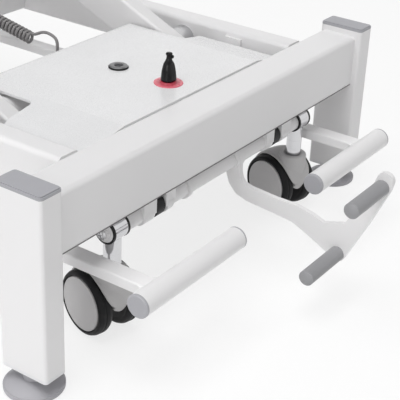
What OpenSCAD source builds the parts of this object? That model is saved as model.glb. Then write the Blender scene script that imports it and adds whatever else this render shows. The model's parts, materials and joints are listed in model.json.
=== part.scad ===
// Electric hi-lo treatment table: a steel base on four posts, two pairs of parallel lift arms,
// an upholstered two-part top, castors lowered by a foot lever and foot bars on both sides.
// +X runs across the table, +Y along it from the lever end to the far end, +Z up.
// The origin is on the floor below the middle of the top. "Front" is the end with the castor lever;
// the raising back section is above it.

/* [Base frame] */
// Width of the base over its posts
base_w = 640; // [630:1:660]
// Length of the base over its two cross rails
base_l = 1300; // [1200:10:1400]
// Width of a post, across the table
post_w = 30; // [26:1:34]
// Depth of a post, along the table
post_d = 60; // [54:1:66]
// How far a post stands proud of its cross rail's outer face
post_proud = 8; // [4:1:10]
// Height of the top of the posts, caps included
post_top = 230; // [224:1:260]
// Height of the cross rails' top face
rail_top = 219; // [215:1:222]
// Height of a cross rail's section
rail_h = 70; // [66:1:74]
// Depth of a cross rail's section
rail_d = 50; // [44:1:56]
// Distance of a side rail's middle from the table's middle
side_x = 217; // [214:1:220]
// Width of a side rail's section
side_w = 30; // [26:1:32]
// Height of a side rail's section
side_h = 55; // [50:1:60]
// Wall of all the frame's steel tubes
tube_wall = 3; // [2:0.5:4]
// Outer corner radius of the frame's tubes
tube_r = 6; // [4:0.5:8]

/* [Levelling feet] */
// Diameter of a foot's disc
foot_d = 63; // [55:1:66]
// Height of the gap between the floor and a post
foot_h = 23; // [20:1:26]
// Diameter of a foot's threaded stem
foot_stem_d = 12; // [8:1:14]

/* [Cover] */
// Half the width of the cover's flat top
cover_flat = 128; // [118:1:134]
// Distance from the front rail's outer face to the cover's rear edge
cover_end = 264; // [255:1:272]
// How far the cover falls from its flat top to its round shoulders
cover_fall = 7; // [5:1:10]
// Radius of the round shoulders
cover_shoulder = 30; // [24:1:34]
// Wall of the cover
cover_wall = 3; // [2:0.5:4]
// Distance of the cover screw from the front rail's outer face
screw_y = 163; // [160:1:166]
// Distance of the key switch from the front rail's outer face
key_y = 89; // [80:1:100]
// Diameter of the key switch's collar
key_collar_d = 34; // [30:1:38]
// Height of the key's head
key_h = 37; // [32:1:42]

/* [Curly cord] */
// Diameter of the coil outside
coil_d = 17; // [16:0.5:18]
// Diameter of the cord itself
cord_d = 4; // [3.5:0.1:4.2]
// Distance between turns
coil_pitch = 8.4; // [8:0.1:8.6]
// Number of turns
coil_turns = 17; // [14:1:18]
// Height of the coil's middle at its front end
coil_z = 212; // [208:1:216]

/* [Lift arms] */
// Length of a lift arm between its pivots
arm_l = 640; // [600:5:660]
// Angle of the arms above level, as the table stands
arm_rest = 23.3; // [20:0.1:27]
// Distance of an arm's middle from the table's middle
arm_x = 157.5; // [155:0.5:160]
// Width of an arm's tube
arm_w = 25; // [22:1:28]
// Height of an arm's tube
arm_h = 50; // [44:1:52]
// Distance of the front arms' lower pivot from the front rail's outer face
pivot_y = 214; // [210:1:220]
// Height of the lower pivots
pivot_z = 190; // [188:1:193]
// Distance between the front and the rear arms' pivots
pivot_pitch = 460; // [440:5:480]
// How far an arm runs past its pivots
arm_over = 26; // [22:1:28]
// Diameter of the arms' pivot shafts
arm_shaft_d = 25; // [20:1:28]

/* [Actuator] */
// Radius of the crank that the actuator pushes
crank_r = 70; // [66:1:74]
// Angle of the crank behind the arm
crank_angle = 220; // [215:1:225]
// Distance of the actuator's fixed pin from the front rail's outer face
motor_y = 235; // [230:1:240]
// Height of the actuator's fixed pin
motor_z = 140; // [136:1:142]
// Diameter of the actuator's pins
pin_d = 10; // [8:1:12]
// Diameter of the actuator's rod
rod_d = 20; // [16:1:22]

/* [Castor gear] */
// Distance of a castor shaft from its rail's outer face
castor_y = 19.5; // [17:0.5:20]
// Height of the castor shafts
castor_z = 131.5; // [130:0.5:134]
// Diameter of the castor shafts
castor_shaft_d = 22; // [20:1:22]
// Distance of a castor's stem from the table's middle
stem_x = 185; // [183:1:187]
// Distance of a stem behind its shaft
stem_back = 0.5; // [0.5:0.5:3]
// Diameter of the chromed stems
stem_d = 19.5; // [17:0.5:19.5]
// Diameter of the castor wheels
wheel_d = 75; // [70:1:75]
// Width of a castor wheel
wheel_w = 18; // [15:1:19]
// How far the castor's axle trails behind its stem
trail = 19.5; // [16:0.5:22]
// Diameter of the collar round a stem
collar_d = 35; // [32:1:38]
// Gap between a raised wheel and the floor
wheel_gap = 1; // [0.5:0.5:2]
// Angle at which the castors have come to rest
castor_turn = -14; // [-20:1:20]

/* [Castor lever] */
// Distance of the lever plate's middle from the table's middle
lever_x = 37; // [32:1:42]
// Thickness of the lever plate
lever_t = 6; // [4:0.5:8]
// Width of the lever's arm
lever_w = 21; // [18:1:24]
// Diameter of the foot pegs
peg_d = 18; // [16:1:20]
// Length of the foot pegs
peg_l = 72; // [60:1:76]

/* [Foot bars] */
// Diameter of a foot bar's round end tube
bar_tube_d = 26; // [22:1:28]
// Height of the round end tubes
bar_z = 106; // [104:1:107]
// Distance of an end tube from its rail's outer face
bar_out = 68; // [60:1:75]
// Distance from the table's middle to an end tube's inner end
bar_inner = 84; // [80:1:90]
// Distance from the table's middle to an end tube's outer end
bar_outer = 252; // [245:1:260]
// Width of the long side bar
bar_w = 21; // [19:1:22]
// Height of the long side bar
bar_h = 13; // [10:1:14]

/* [Top] */
// Length of the whole upholstered top
top_l = 1950; // [1900:10:2000]
// Width of the upholstered top
top_w = 680; // [650:5:700]
// How far the top overhangs the front rail
top_over = 200; // [195:1:220]
// Length of the back section
back_l = 640; // [600:5:700]
// Height of the top's frame tubes
top_tube_h = 40; // [35:1:45]
// Thickness of a cushion with its board
cushion_h = 72; // [60:1:80]
// Gap between the two cushions
cushion_gap = 30; // [28:1:36]
// Height of the top's frame above the arms' upper pivots
frame_rise = 20; // [18:1:26]

/* [Hidden] */

$fn = 64;

// Radial clearance of a shaft in its bearing
fit = 0.05;
// Gap between parts that move past each other
run_gap = 0.5;
// Small overlap that lets a cut pass right through a face
cut = 1;

// Colours as the object shows them
white_steel = [0.93, 0.93, 0.93];
grey_plastic = [0.62, 0.62, 0.65];
dark_grey = [0.42, 0.42, 0.44];
bright_steel = [0.78, 0.79, 0.80];
black = [0.08, 0.08, 0.09];
red = [0.62, 0.16, 0.22];
vinyl = [0.22, 0.38, 0.50];

// Places of the base along the table
front_y = -top_l / 2 + top_over;
rear_y = front_y + base_l;
end_pitch = base_l - rail_d;
post_x = base_w / 2 - post_w / 2;
post_mid = front_y - post_proud + post_d / 2;
rear_post_mid = rear_y + post_proud - post_d / 2;
post_bottom = foot_h;
cap_t = 4;
plug_t = 4;
side_z = rail_top - side_h / 2;

// Places of the lift arms
low_y = front_y + pivot_y;
rear_low_y = low_y + pivot_pitch;
up_y = low_y + arm_l * cos(arm_rest);
up_z = pivot_z + arm_l * sin(arm_rest);
boss_d = 44;
boss_side = 2;
sleeve_end = arm_x - arm_w / 2;

// Places of the actuator
fixed_pin = [front_y + motor_y, motor_z];
crank_pin = [rear_low_y + crank_r * cos(arm_rest + crank_angle),
    pivot_z + crank_r * sin(arm_rest + crank_angle)];
actuator_v = crank_pin - fixed_pin;
actuator_l = norm(actuator_v);
actuator_tilt = atan2(actuator_v[1], actuator_v[0]);
eye_slack = 4.4;
crank_gap = 28;
crank_t = 6;

// Places of the castor gear
castor_axis_y = front_y + castor_y;
stem_y = castor_axis_y + stem_back;
wheel_z = wheel_d / 2 + wheel_gap;
wheel_in = 10;
hub_cap_d = 63;
hood_gap = 1.5;
hood_half = 15;
hood_t = 4;
collar_z = 84;
socket_z = 104;
clamp_w = 20;
ring_w = 2.6;
ring_gap = 0.2;
bearing_blocks = [[93, 110], [127, 149]];
link_x = -70;
link_back = 50;
link_drop = 25.5;

// Places of the foot bars
bar_x = side_x;
bar_mid_z = bar_z - bar_tube_d / 2 + bar_h / 2 + 4;
bar_pivot_y = front_y + base_l / 2;
bar_cap_t = 3;

// Places of the top
top_z = up_z + frame_rise + top_tube_h;
frame_z = up_z + frame_rise + top_tube_h / 2;
top_tube_w = 30;
top_x = 205;
top_front = -top_l / 2;
joint_y = top_front + back_l + cushion_gap / 2;
hinge_z = top_z + cushion_h * 0.55;
hinge_x = top_x;
frame_inset = 50;

// Ring counts of the soft forms
corner_steps = 7;

// Shared shapes

module both_sides() {
    children();
    mirror([1, 0, 0]) children();
}

module at_front_and_rear(pitch) {
    children();
    translate([0, pitch, 0]) children();
}

// Rectangle with round corners, about the origin
module round_rect(w, h, r) {
    square([w - 2 * r, h], center = true);
    square([w, h - 2 * r], center = true);
    for (x = [-1, 1], y = [-1, 1])
        translate([x * (w / 2 - r), y * (h / 2 - r)]) circle(r);
}

module tube_section(w, h, r, wall) {
    difference() {
        round_rect(w, h, r);
        round_rect(w - 2 * wall, h - 2 * wall, max(r - wall, 1));
    }
}

// A flat outline drawn in (Y, Z), standing up with its thickness across the table
module upright(t) {
    rotate([90, 0, 90]) linear_extrude(t, center = true) children();
}

// A profile drawn in (X, Z), run along the table from y = 0
module along(l) {
    translate([0, l, 0]) rotate([90, 0, 0]) linear_extrude(l) children();
}

module rod_x(d, l) {
    rotate([0, 90, 0]) cylinder(d = d, h = l, center = true);
}

// A straight strip with round ends, wa wide at a and wb wide at b. Its sides stand just inside the ends'
// widest points, so that no side touches an end circle without crossing it.
module taper(a, b, wa, wb) {
    d = b - a;
    p = wa / 2 - 0.01;
    q = wb / 2 - 0.01;
    translate(a) circle(d = wa);
    translate(b) circle(d = wb);
    translate(a) rotate(atan2(d[1], d[0])) polygon([[0, -p], [norm(d), -q], [norm(d), q], [0, p]]);
}

module strip(a, b, w) {
    taper(a, b, w, w);
}

// Strips through points of the form [y, z, width]
module tapers(points) {
    for (i = [1 : len(points) - 1])
        let (a = points[i - 1], b = points[i])
        taper([a[0], a[1]], [b[0], b[1]], a[2], b[2]);
}

// Base frame

// Cross rail with a fine groove along the foot of its two faces
module cross_rail() {
    l = base_w - 2 * post_w;
    groove_z = 3.6;
    groove_w = 0.8;
    groove_in = 1.3;
    translate([0, front_y + rail_d / 2, rail_top - rail_h / 2])
        rotate([90, 0, 90]) linear_extrude(l, center = true) difference() {
            tube_section(rail_d, rail_h, tube_r, tube_wall);
            for (s = [-1, 1]) translate([s * rail_d / 2, groove_z - rail_h / 2])
                square([2 * groove_in, groove_w], center = true);
        }
}

module front_cross_rail() {
    color(white_steel) cross_rail();
}

module rear_cross_rail() {
    color(white_steel) translate([0, end_pitch, 0]) cross_rail();
}

// Side rail with the shaft holes, the cover's clip and the foot bar's hanger
module side_rail() {
    l = base_l - 2 * rail_d;
    hanger_t = 4;
    hanger_w = 40;
    hanger_low = bar_mid_z - 14;
    clip_x = side_x - side_w / 2 - 3.8;
    difference() {
        translate([side_x, front_y + rail_d, side_z])
            along(l) tube_section(side_w, side_h, tube_r, tube_wall);
        for (y = [low_y, rear_low_y])
            translate([side_x, y, pivot_z]) rod_x(arm_shaft_d, side_w + 2 * cut);
    }
    translate([clip_x, front_y + 120, rail_top - 36]) cube([4, 25, 27]);
    for (s = [-1, 1])
        translate([side_x + s * (bar_w / 2 + run_gap + hanger_t / 2), 0, 0])
            difference() {
                union() {
                    translate([-hanger_t / 2, bar_pivot_y - hanger_w / 2, bar_mid_z])
                        cube([hanger_t, hanger_w, rail_top - side_h - bar_mid_z]);
                    translate([0, bar_pivot_y, bar_mid_z]) rod_x(28, hanger_t);
                }
                translate([0, bar_pivot_y, bar_mid_z]) rod_x(pin_d, hanger_t + 2 * cut);
            }
    translate([side_x, bar_pivot_y, bar_mid_z]) rod_x(pin_d, bar_w + 2 * hanger_t + 4);
}

module left_side_rail() {
    color(white_steel) mirror([1, 0, 0]) side_rail();
}

module right_side_rail() {
    color(white_steel) side_rail();
}

module post() {
    translate([0, 0, post_bottom + plug_t])
        linear_extrude(post_top - cap_t - post_bottom - plug_t)
            tube_section(post_w, post_d, 4, 2.5);
}

module front_left_post() {
    color(white_steel) translate([-post_x, post_mid, 0]) post();
}

module front_right_post() {
    color(white_steel) translate([post_x, post_mid, 0]) post();
}

module rear_left_post() {
    color(white_steel) translate([-post_x, rear_post_mid, 0]) post();
}

module rear_right_post() {
    color(white_steel) translate([post_x, rear_post_mid, 0]) post();
}

module at_posts() {
    for (x = [-post_x, post_x], y = [post_mid, rear_post_mid])
        translate([x, y, 0]) children();
}

// Push-in caps: a thin head over the tube's end and a hollow plug inside it
module post_caps() {
    color(grey_plastic) at_posts() {
        translate([0, 0, post_top - cap_t]) linear_extrude(cap_t - 1.2) round_rect(post_w, post_d, 4);
        translate([0, 0, post_top - 1.2]) linear_extrude(1.2) round_rect(post_w - 2.4, post_d - 2.4, 3);
        translate([0, 0, post_top - cap_t - 18]) linear_extrude(18)
            tube_section(post_w - 5.2, post_d - 5.2, 2.5, 2);
    }
}

// Threaded inserts that carry the levelling feet
module post_plugs() {
    color(white_steel) at_posts() difference() {
        union() {
            translate([0, 0, post_bottom]) linear_extrude(plug_t) round_rect(post_w, post_d, 4);
            translate([0, 0, post_bottom]) linear_extrude(26)
                round_rect(post_w - 5.2, post_d - 5.2, 2.5);
        }
        translate([0, 0, post_bottom - cut]) cylinder(d = foot_stem_d + 2 * fit, h = 24 + cut);
    }
}

// Domed disc on a short neck, with the stem that screws into the post's plug
module levelling_foot() {
    r = foot_d / 2;
    neck_r = 11;
    dome_z = foot_h * 0.62;
    rotate_extrude() {
        difference() {
            union() {
                square([r - 3, 5]);
                translate([0, 3]) square([r, 3]);
                translate([r - 3, 3]) circle(3);
                intersection() {
                    translate([0, dome_z - r * 1.8]) circle(r * 1.8, $fn = 180);
                    translate([0, 5.5]) square([r, dome_z]);
                }
            }
            translate([-2 * r, -cut]) square([2 * r, 3 * r]);
        }
        square([neck_r, foot_h - 0.3]);
        square([foot_stem_d / 2, foot_h + 20]);
    }
}

module front_left_foot() {
    color(grey_plastic) translate([-post_x, post_mid, 0]) levelling_foot();
}

module front_right_foot() {
    color(grey_plastic) translate([post_x, post_mid, 0]) levelling_foot();
}

module rear_left_foot() {
    color(grey_plastic) translate([-post_x, rear_post_mid, 0]) levelling_foot();
}

module rear_right_foot() {
    color(grey_plastic) translate([post_x, rear_post_mid, 0]) levelling_foot();
}

// Cover over the front arms' pivots

// Outline across the table: flat top, gentle slopes and round shoulders down to short skirts
module cover_profile(inset) {
    top = rail_top - 0.5 - inset;
    out = side_x - side_w / 2 - 4 - inset;
    r = cover_shoulder - inset;
    slope_end = top - cover_fall;
    polygon([[-out, 150], [out, 150], [out, slope_end - r], [out - r, slope_end], [cover_flat, top],
        [-cover_flat, top], [r - out, slope_end], [-out, slope_end - r]]);
    for (x = [-1, 1]) translate([x * (out - r), slope_end - r]) circle(r);
}

// Outline along the table: level, with a rounded fall to the rear wall
module cover_side(inset) {
    start = front_y + rail_d + 0.8 + inset;
    end = front_y + cover_end - inset;
    top = rail_top - 0.5 - inset;
    r = 14 - inset;
    translate([start, 149]) square([end - r - start, top - 149]);
    translate([start, 149]) square([end - start, top - r - 149]);
    translate([end - r, top - r]) circle(r);
}

// Plan: rounded rear corners
module cover_plan(inset) {
    start = front_y + rail_d + 0.8 + inset;
    end = front_y + cover_end - inset;
    half = side_x - side_w / 2 - 4 - inset;
    r = 40 - inset;
    translate([-half, start]) square([2 * half, end - r - start]);
    translate([-half + r, start]) square([2 * half - 2 * r, end - start]);
    for (s = [-1, 1]) translate([s * (half - r), end - r]) circle(r);
}

module cover_form(inset, low) {
    intersection() {
        translate([0, front_y, 0]) along(cover_end + cut) cover_profile(inset);
        rotate([90, 0, 90]) linear_extrude(base_w, center = true) cover_side(inset);
        translate([0, 0, low]) linear_extrude(rail_top - low) cover_plan(inset);
    }
}

module base_cover() {
    slot_x = arm_x - arm_w / 2 - 6;
    slot_y = front_y + pivot_y - arm_over - 19;
    r = 8;
    color(white_steel) difference() {
        cover_form(0, 166);
        cover_form(cover_wall, 100);
        both_sides() {
            translate([slot_x, slot_y + r, 140]) cube([base_w, cover_end, 100]);
            translate([slot_x + r, slot_y, 140]) cube([base_w, cover_end, 100]);
            translate([slot_x + r, slot_y + r, 140]) cylinder(r = r, h = 100);
        }
        translate([0, front_y + screw_y, 150]) cylinder(d = 9, h = 100);
        translate([0, front_y + key_y, 150]) cylinder(d = 20, h = 100);
        translate([coil_x, gland_y + cut, gland_z]) rotate([90, 0, 0]) cylinder(d = 10, h = 12);
    }
}

// Thumb screw with a rubber washer that holds the cover down
module cover_screw() {
    color(grey_plastic) translate([0, front_y + screw_y, rail_top - 0.5]) difference() {
        union() {
            cylinder(d = 19, h = 2.5);
            translate([0, 0, 2.5]) cylinder(d = 24, h = 4);
            translate([0, 0, 6.5]) cylinder(d1 = 24, d2 = 21, h = 1.2);
            translate([0, 0, -22]) cylinder(d = 7.9, h = 23);
        }
        translate([0, 0, 2.7]) cylinder(d = 8, h = 6);
    }
}

// Lock's red collar on the cover, with the neck that passes through it
module key_collar() {
    color(red) translate([0, front_y + key_y, rail_top - 0.5]) difference() {
        union() {
            cylinder(d = key_collar_d, h = 1.2);
            cylinder(d = 20, h = 3);
            translate([0, 0, -16]) cylinder(d = 19.8, h = 17);
        }
        translate([0, 0, -17]) cylinder(d = 8 + 2 * fit, h = 30);
    }
}

// Black key: a tapering round grip with shoulders and a notched neck, on a turning core
module key() {
    h = key_h;
    color(black) translate([0, front_y + key_y, rail_top - 0.5]) difference() {
        rotate_extrude() {
            polygon([[0, 3.4], [9.2, 3.4], [8.6, 8], [6.6, h * 0.6], [5.8, h * 0.68], [4.2, h * 0.74],
                [3, h * 0.92], [3.6, h * 0.94], [3.6, h - 0.6], [3, h], [0, h]]);
            translate([0, -14]) square([4, 20]);
        }
        translate([2.2, -5, h * 0.76]) cube([6, 10, h * 0.09]);
        for (y = [-1, 1]) translate([-10, y * 11.2, h * 0.42]) rotate([y * 9, 0, 0])
            translate([0, -5, -h / 2]) cube([20, 10, h * 0.9]);
    }
}

// Cord from the cover to the control box

// Rise of the coil along the table, per millimetre
coil_slope = 0.18;
coil_x = 20;
coil_start = front_y + 322;
coil_axis_r = (coil_d - cord_d) / 2;
coil_len = coil_pitch * coil_turns;
coil_top = 90;
ring_sides = 6;
rings_per_turn = 8;
gland_y = front_y + cover_end;
gland_z = 196;
box_front = front_y + 492;
box_z = 214;

// Point of the coil's middle line, dy past its start and at angle a round its axis
function coil_point(dy, a) = [coil_x + coil_axis_r * cos(a), coil_start + dy,
    coil_z + coil_slope * dy + coil_axis_r * sin(a)];
function coil_radial(a) = [cos(a), 0, sin(a)];

coil_end = coil_top + 360 * coil_turns;
coil_rings = rings_per_turn * coil_turns;
// Place past the coil's end, and turn, of the rings that straighten the cord out of its last turn
run_out = [[1.5, 22], [4, 38], [8, 46]];
// Tail out of the cover in a low arch: place across and along the table, and height
tail_in = [[0, 0, gland_z], [0, 10, 197], [0.5, 19, 202], [1.5, 27, 210], [3, 34, 217.5], [4.3, 41, 220.5],
    [5, 47, 218]];
cord_path = concat(
    [for (p = tail_in) [coil_x + p[0], gland_y + p[1], p[2]]],
    [for (i = [2, 1, 0]) coil_point(-run_out[i][0], coil_top - run_out[i][1])],
    [for (i = [0 : coil_rings]) coil_point(i * coil_pitch / rings_per_turn, coil_top + i * 360 / rings_per_turn)],
    [for (r = run_out) coil_point(coil_len + r[0], coil_end + r[1])],
    [for (dy = [-4, 0]) coil_point(box_front - coil_start + dy, coil_end + 46)]);
cord_refs = concat(
    [for (p = tail_in) coil_radial(coil_top)],
    [for (i = [2, 1, 0]) coil_radial(coil_top - run_out[i][1])],
    [for (i = [0 : coil_rings]) coil_radial(coil_top + i * 360 / rings_per_turn)],
    [for (r = run_out) coil_radial(coil_end + r[1])],
    [for (k = [0, 1]) coil_radial(coil_end + 46)]);

function unit(v) = v / norm(v);
function path_dir(p, i) = unit(p[min(i + 1, len(p) - 1)] - p[max(i - 1, 0)]);
// One ring of a swept tube, square to the path, turned by the path's own reference
function sweep_ring(p, refs, i, d, n) =
    let (t = path_dir(p, i), b = unit(cross(t, refs[i])), a = cross(b, t))
    [for (k = [0 : n - 1]) p[i] + d / 2 * (cos(360 * k / n) * a + sin(360 * k / n) * b)];

// Least distance between points of the coil that are half a turn or more apart, less the cord itself
coil_gap = min([for (i = [10 : len(cord_path) - 10], j = [i + 5 : min(i + 12, len(cord_path) - 3)])
    norm(cord_path[i] - cord_path[j])]) - cord_d;
echo(coil_gap = coil_gap);

module swept_tube(p, refs, d, n) {
    rings = len(p);
    last = rings - 1;
    points = concat([for (i = [0 : last]) each sweep_ring(p, refs, i, d, n)], [p[0], p[last]]);
    sides = [for (i = [0 : last - 1], k = [0 : n - 1])
        let (a = i * n + k, b = i * n + (k + 1) % n, c = a + n, e = b + n)
        each [[a, b, c], [b, e, c]]];
    ends = [for (k = [0 : n - 1])
        let (k2 = (k + 1) % n)
        each [[rings * n, k2, k], [rings * n + 1, last * n + k, last * n + k2]]];
    polyhedron(points, concat(sides, ends));
}

module curly_cord() {
    color(dark_grey) swept_tube(cord_path, cord_refs, cord_d, ring_sides);
}

module cord_gland() {
    color(dark_grey) translate([coil_x, gland_y - cover_wall - 2.5, gland_z]) rotate([-90, 0, 0])
        difference() {
            union() {
                cylinder(d = 9.9, h = 6);
                translate([0, 0, cover_wall + 2.5]) cylinder(d = 14, h = 2);
                cylinder(d = 14, h = 2.3);
            }
            translate([0, 0, 5.5]) cylinder(d = cord_d + 1, h = 4);
        }
}

// Sealed box that joins the switch lead to the actuator
module control_box() {
    color(grey_plastic) {
        translate([coil_x, box_front + 30, box_z + 12]) {
            linear_extrude(40, center = true) round_rect(110, 60, 6);
            translate([0, 0, 20]) linear_extrude(3) round_rect(104, 54, 5);
        }
        translate([coil_x - 55, box_front + 12, box_z - 17.8]) cube([110, 36, 10]);
    }
}

// Cross members of the base, with the actuator's ears and the cover screw's pillar
module frame_crossbars() {
    bar = 30;
    bar_y = front_y + screw_y;
    bar_top = rail_top - side_h;
    inner = 2 * side_x - side_w;
    ear_t = 6;
    ear_x = 23;
    color(white_steel) {
        difference() {
            union() {
                translate([0, bar_y - 6, bar_top - bar / 2]) rotate([90, 0, 90])
                    linear_extrude(2 * side_x, center = true) tube_section(bar, bar, 4, tube_wall);
                translate([0, bar_y, bar_top]) cylinder(d = 16, h = rail_top - 0.8 - cover_wall - bar_top);
                both_sides() translate([ear_x, 0, 0]) upright(ear_t) {
                    strip([bar_y, bar_top - bar / 2], fixed_pin, 26);
                }
            }
            translate([0, bar_y, bar_top - 6]) cylinder(d = 8, h = 60);
            translate([0, fixed_pin[0], fixed_pin[1]]) rod_x(pin_d, 80);
        }
        translate([0, fixed_pin[0], fixed_pin[1]]) rod_x(pin_d, 2 * ear_x + ear_t + 8);
        translate([0, box_front + 30, box_z - 17.8 - bar / 2]) rotate([90, 0, 90])
            linear_extrude(inner, center = true) tube_section(bar, bar, 4, tube_wall);
    }
}

// Actuator: drawn along its own axis from the fixed pin, then tilted to the crank's pin

module on_actuator() {
    translate([0, fixed_pin[0], fixed_pin[1]]) rotate([actuator_tilt, 0, 0]) children();
}

module rod_y(d, from, to) {
    translate([0, from, 0]) rotate([-90, 0, 0]) cylinder(d = d, h = to - from);
}

rod_mouth = 300;

module actuator_housing() {
    gear_y = 24;
    gear_l = 78;
    color(dark_grey) on_actuator() difference() {
        union() {
            rod_x(26, 32);
            rod_y(24, 6, gear_y + 4);
            translate([0, gear_y + gear_l / 2, -6]) rotate([90, 0, 0])
                linear_extrude(gear_l, center = true) round_rect(56, 52, 8);
            translate([0, 0, -44]) rod_y(44, gear_y + 6, gear_y + 150);
            translate([0, gear_y + 30, -28]) rotate([90, 0, 0])
                linear_extrude(40, center = true) round_rect(40, 30, 4);
            rod_y(34, gear_y + gear_l - 4, rod_mouth - 14);
            rod_y(40, rod_mouth - 22, rod_mouth);
        }
        rod_x(pin_d + 2 * fit, 40);
        rod_y(rod_d + 2 * fit, gear_y + gear_l + 20, rod_mouth + cut);
    }
}

module actuator_rod() {
    eye_r = pin_d / 2 + eye_slack;
    color(bright_steel) on_actuator() difference() {
        union() {
            rod_y(rod_d, rod_mouth - 110, actuator_l - eye_r - 4);
            translate([0, actuator_l, 0]) rod_x(2 * (eye_r + 6), crank_gap - 4);
        }
        translate([0, actuator_l, 0]) rod_x(2 * eye_r, crank_gap + 2 * cut);
    }
}

module rod_pin() {
    l = crank_gap + 2 * crank_t;
    color(bright_steel) translate([0, crank_pin[0], crank_pin[1]]) {
        rod_x(pin_d, l + 4);
        translate([l / 2 + 3, 0, 0]) rod_x(16, 3);
        translate([-l / 2 - 3, 0, 0]) rod_x(16, 3);
    }
}

// Lift arms

// One pair of arms, drawn from the lower pivot at the origin along +Y, then raised to the rest angle
module arm_pair() {
    difference() {
        union() {
            both_sides() translate([arm_x, -arm_over, 0])
                along(arm_l + 2 * arm_over) tube_section(arm_w, arm_h, 4, tube_wall);
            both_sides() for (y = [0, arm_l])
                translate([arm_x, y, 0]) rod_x(boss_d, arm_w + 2 * boss_side);
            rod_x(boss_d - 4, 2 * sleeve_end);
            translate([0, arm_l, 0]) rod_x(boss_d - 4, 2 * sleeve_end);
            translate([0, arm_l * 0.62, 0]) rod_x(38, 2 * sleeve_end);
        }
        for (y = [0, arm_l]) {
            translate([0, y, 0]) rod_x(arm_shaft_d + 2 * fit, 2 * arm_x + 4 * arm_w);
            translate([0, y, 0]) rod_x(arm_shaft_d + 6, 2 * sleeve_end - 30);
        }
    }
}

module front_lift_arms() {
    color(white_steel) translate([0, low_y, pivot_z]) rotate([arm_rest, 0, 0]) arm_pair();
}

module rear_lift_arms() {
    color(white_steel) translate([0, rear_low_y, pivot_z]) {
        rotate([arm_rest, 0, 0]) arm_pair();
        rotate([arm_rest + crank_angle, 0, 0]) both_sides()
            translate([crank_gap / 2 + crank_t / 2, 0, 0]) difference() {
                upright(crank_t) difference() {
                    union() {
                        circle(d = boss_d + 10);
                        strip([0, 0], [crank_r, 0], 28);
                    }
                    circle(d = boss_d - 6);
                }
                translate([0, crank_r, 0]) rod_x(pin_d, crank_t + 2 * cut);
            }
    }
}

module shaft_with_collars(l, collar_end) {
    rod_x(arm_shaft_d, l);
    both_sides() translate([(arm_x + arm_w / 2 + boss_side + run_gap + collar_end) / 2, 0, 0])
        rod_x(arm_shaft_d + 12, collar_end - arm_x - arm_w / 2 - boss_side - run_gap);
}

module lower_arm_shafts() {
    color(bright_steel) for (y = [low_y, rear_low_y])
        translate([0, y, pivot_z]) shaft_with_collars(2 * side_x + side_w, side_x - side_w / 2);
}

module upper_arm_shafts() {
    color(bright_steel) for (y = [up_y, up_y + pivot_pitch])
        translate([0, y, up_z]) shaft_with_collars(2 * top_x + 4, top_x - 8);
}

// Castor gear

module castor_shaft() {
    end_x = stem_x + clamp_w / 2 + ring_gap + ring_w + 0.5;
    translate([0, castor_axis_y, castor_z]) {
        rod_x(castor_shaft_d, 2 * end_x);
        rod_x(13, 2 * end_x + 8);
        translate([link_x + 6.5, 0, 0]) upright(6) {
            circle(d = castor_shaft_d + 5);
            strip([0, 0], [link_back, -link_drop], 16);
        }
        translate([link_x + 1, link_back, -link_drop]) rod_x(pin_d, 13);
    }
}

module front_castor_shaft() {
    color(bright_steel) castor_shaft();
}

module rear_castor_shaft() {
    color(bright_steel) translate([0, end_pitch, 0]) castor_shaft();
}

// Saddle blocks under the cross rails, two on each side: each holds the shaft from above and behind,
// with a strap round it and a rear flange bolted to the rail
module shaft_bearings() {
    room = rail_top - rail_h - castor_z;
    flange_t = 4;
    color(white_steel) at_front_and_rear(end_pitch) both_sides()
        for (b = bearing_blocks) {
            w = b[1] - b[0];
            translate([(b[0] + b[1]) / 2, castor_axis_y, castor_z]) difference() {
                union() {
                    translate([-w / 2, -13, -2]) cube([w, 30, room + 2]);
                    translate([-w / 2, 2, -15]) cube([w, 15, 20]);
                    translate([-w / 2, 16, room - flange_t]) cube([w, 12, flange_t]);
                    translate([0, 22.8, room - flange_t - 3]) cylinder(d = 9, h = 4);
                    rod_x(castor_shaft_d + 5, w - 6);
                }
                rod_x(castor_shaft_d + 2 * fit, w + 2 * cut);
            }
        }
}

// Eye on the shaft with the neck that takes a castor's stem
module castor_clamps() {
    color(bright_steel) both_sides() translate([stem_x, castor_axis_y, castor_z]) difference() {
        union() {
            rod_x(castor_shaft_d + 4, clamp_w);
            translate([0, stem_back, socket_z - castor_z]) cylinder(d = stem_d, h = castor_z - socket_z);
        }
        rod_x(castor_shaft_d, clamp_w + 2 * cut);
        translate([0, stem_back, socket_z - castor_z - cut]) cylinder(d = 10 + 2 * fit, h = 11);
    }
}

module front_castor_clamps() {
    castor_clamps();
}

module rear_castor_clamps() {
    translate([0, end_pitch, 0]) castor_clamps();
}

module shaft_ring(x, d, w) {
    translate([x, castor_axis_y, castor_z]) difference() {
        rod_x(d, w);
        rod_x(castor_shaft_d, w + 2 * cut);
    }
}

// Rings on both sides of each eye, and the stop collars between the bearing blocks
module front_clamp_rings() {
    collar_x = (bearing_blocks[0][1] + bearing_blocks[1][0]) / 2;
    collar_w = bearing_blocks[1][0] - bearing_blocks[0][1] - 3;
    color(black) for (s = [-1, 1]) {
        for (t = [-1, 1])
            shaft_ring(s * stem_x + t * (clamp_w / 2 + ring_gap + ring_w / 2), castor_shaft_d + 4.8, ring_w);
        shaft_ring(s * collar_x, castor_shaft_d + 4, collar_w);
    }
}

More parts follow.
